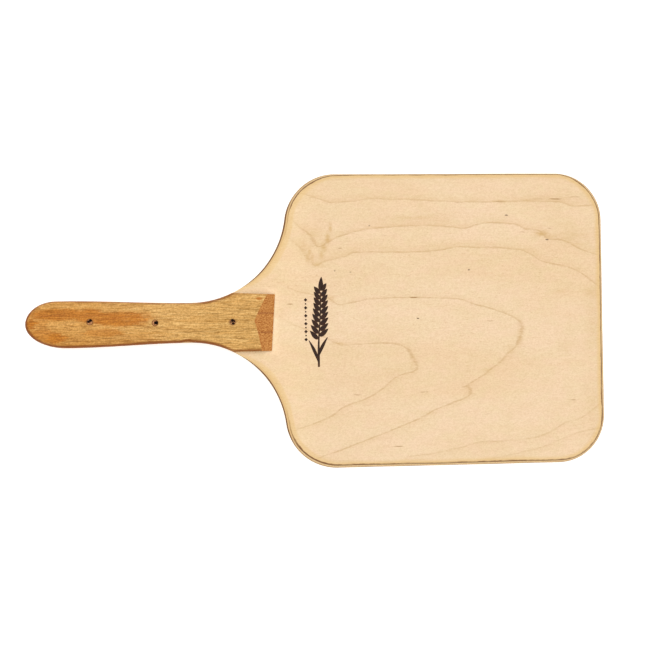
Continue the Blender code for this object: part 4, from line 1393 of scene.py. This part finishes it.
strokes.append(ribbon(np.column_stack([stem_at(stem_y), stem_y]), np.linspace(2.1, 1.0, 40)))
for k in range(9):
    y = -19.0 + k * 5.9
    x = float(stem_at(y))
    tilt = math.atan2(1.0, 1.5 / 19.0 * math.cos((y + 6.0) / 19.0))
    size = 12.4 - 0.34 * k
    for side in (-1, 1):
        strokes.append(leaf(x + 0.75 * side, y + 1.5 * (side + 1), tilt - side * (0.80 - 0.02 * k), size, 4.9))
strokes.append(leaf(float(stem_at(30.0)), 31.0, math.pi / 2 - 0.08, 15.0, 5.0))
for side, foot, top, reach in ((-1, -42.0, -20.0, 9.2), (1, -36.0, -17.0, 9.0)):
    t = np.linspace(0, 1, 16)
    y = foot + (top - foot) * t**0.9
    x = stem_at(np.full(16, foot)) + side * (0.6 + reach * t**1.25)
    strokes.append(ribbon(np.column_stack([x, y]), 0.7 + 2.7 * np.sin(np.pi * np.clip(t, 0.02, 0.98) ** 0.8)))
ornament("wheat_stamp", strokes)

beads = []
for k in range(11):
    y = -19.0 + k * 4.1
    if k % 2 == 0:
        beads.append(np.array([(285.7 + 1.9 * math.cos(a), y + 1.9 * math.sin(a)) for a in np.arange(4) * math.pi / 2]))
    else:
        beads.append(np.array([(285.7 + 0.85 * math.cos(a), y + 0.85 * math.sin(a)) for a in np.arange(14) * math.pi / 7]))
ornament("bead_stamp", beads)


# ---------------------------------------------------------------- floor, light and camera


def stage_and_light():
    size = 12.0
    floor = bpy.data.meshes.new("floor")
    floor.from_pydata([(-size, -size, 0), (size, -size, 0), (size, size, 0), (-size, size, 0)], [], [(0, 1, 2, 3)])
    floor = bpy.data.objects.new("floor", floor)
    floor.location = (0, 0, -0.0002)
    bpy.context.scene.collection.objects.link(floor)
    m = Finish("pale_floor")
    place = m.tree.nodes.new("ShaderNodeTexCoord").outputs["Object"]
    speck = m.noise(place, (2.0, 2.0, 2.0), 2, 0.5)
    tone = m.mix(speck, (0.93, 0.93, 0.925, 1.0), (0.95, 0.95, 0.945, 1.0))
    m.put(m.shader.inputs["Emission Color"], tone)
    m.shader.inputs["Emission Strength"].default_value = 0.45
    floor.data.materials.append(m.finish(tone, 0.9, specular=0.1))

    world = bpy.data.worlds.new("soft_room")
    bpy.context.scene.world = world
    world.use_nodes = True
    world.node_tree.nodes["Background"].inputs["Color"].default_value = (1.0, 1.0, 1.0, 1.0)
    world.node_tree.nodes["Background"].inputs["Strength"].default_value = 0.75

    def area(name, place, target, width, power):
        light = bpy.data.lights.new(name, "AREA")
        light.shape = "DISK"
        light.size = width
        light.energy = power
        made = bpy.data.objects.new(name, light)
        made.location = place
        made.rotation_mode = "QUATERNION"
        made.rotation_quaternion = (Vector(target) - Vector(place)).to_track_quat("-Z", "Y")
        bpy.context.scene.collection.objects.link(made)

    area("softbox_over", (-0.3, 0.75, 2.2), (0, 0, 0), 2.2, 21.0)
    area("softbox_fill", (1.4, -1.2, 1.7), (0, 0, 0), 2.0, 13.5)


stage_and_light()

camera = bpy.data.cameras.new("camera")
camera.sensor_width = 36.0
camera.lens = 1258.27 * 36.0 / 670.0
camera.clip_start, camera.clip_end = 0.05, 20.0
camera_object = bpy.data.objects.new("camera", camera)
bpy.context.scene.collection.objects.link(camera_object)
turn = Vector([math.radians(v) for v in (0.527, -5.246, -0.882)])
spin = Matrix.Rotation(turn.length, 4, turn.normalized())
camera_object.matrix_world = TO_ROW @ Matrix.Translation((0.19656, -0.02576, 1.300)) @ spin
bpy.context.scene.camera = camera_object
bpy.context.scene.view_settings.view_transform = "Standard"
bpy.context.scene.view_settings.look = "None"
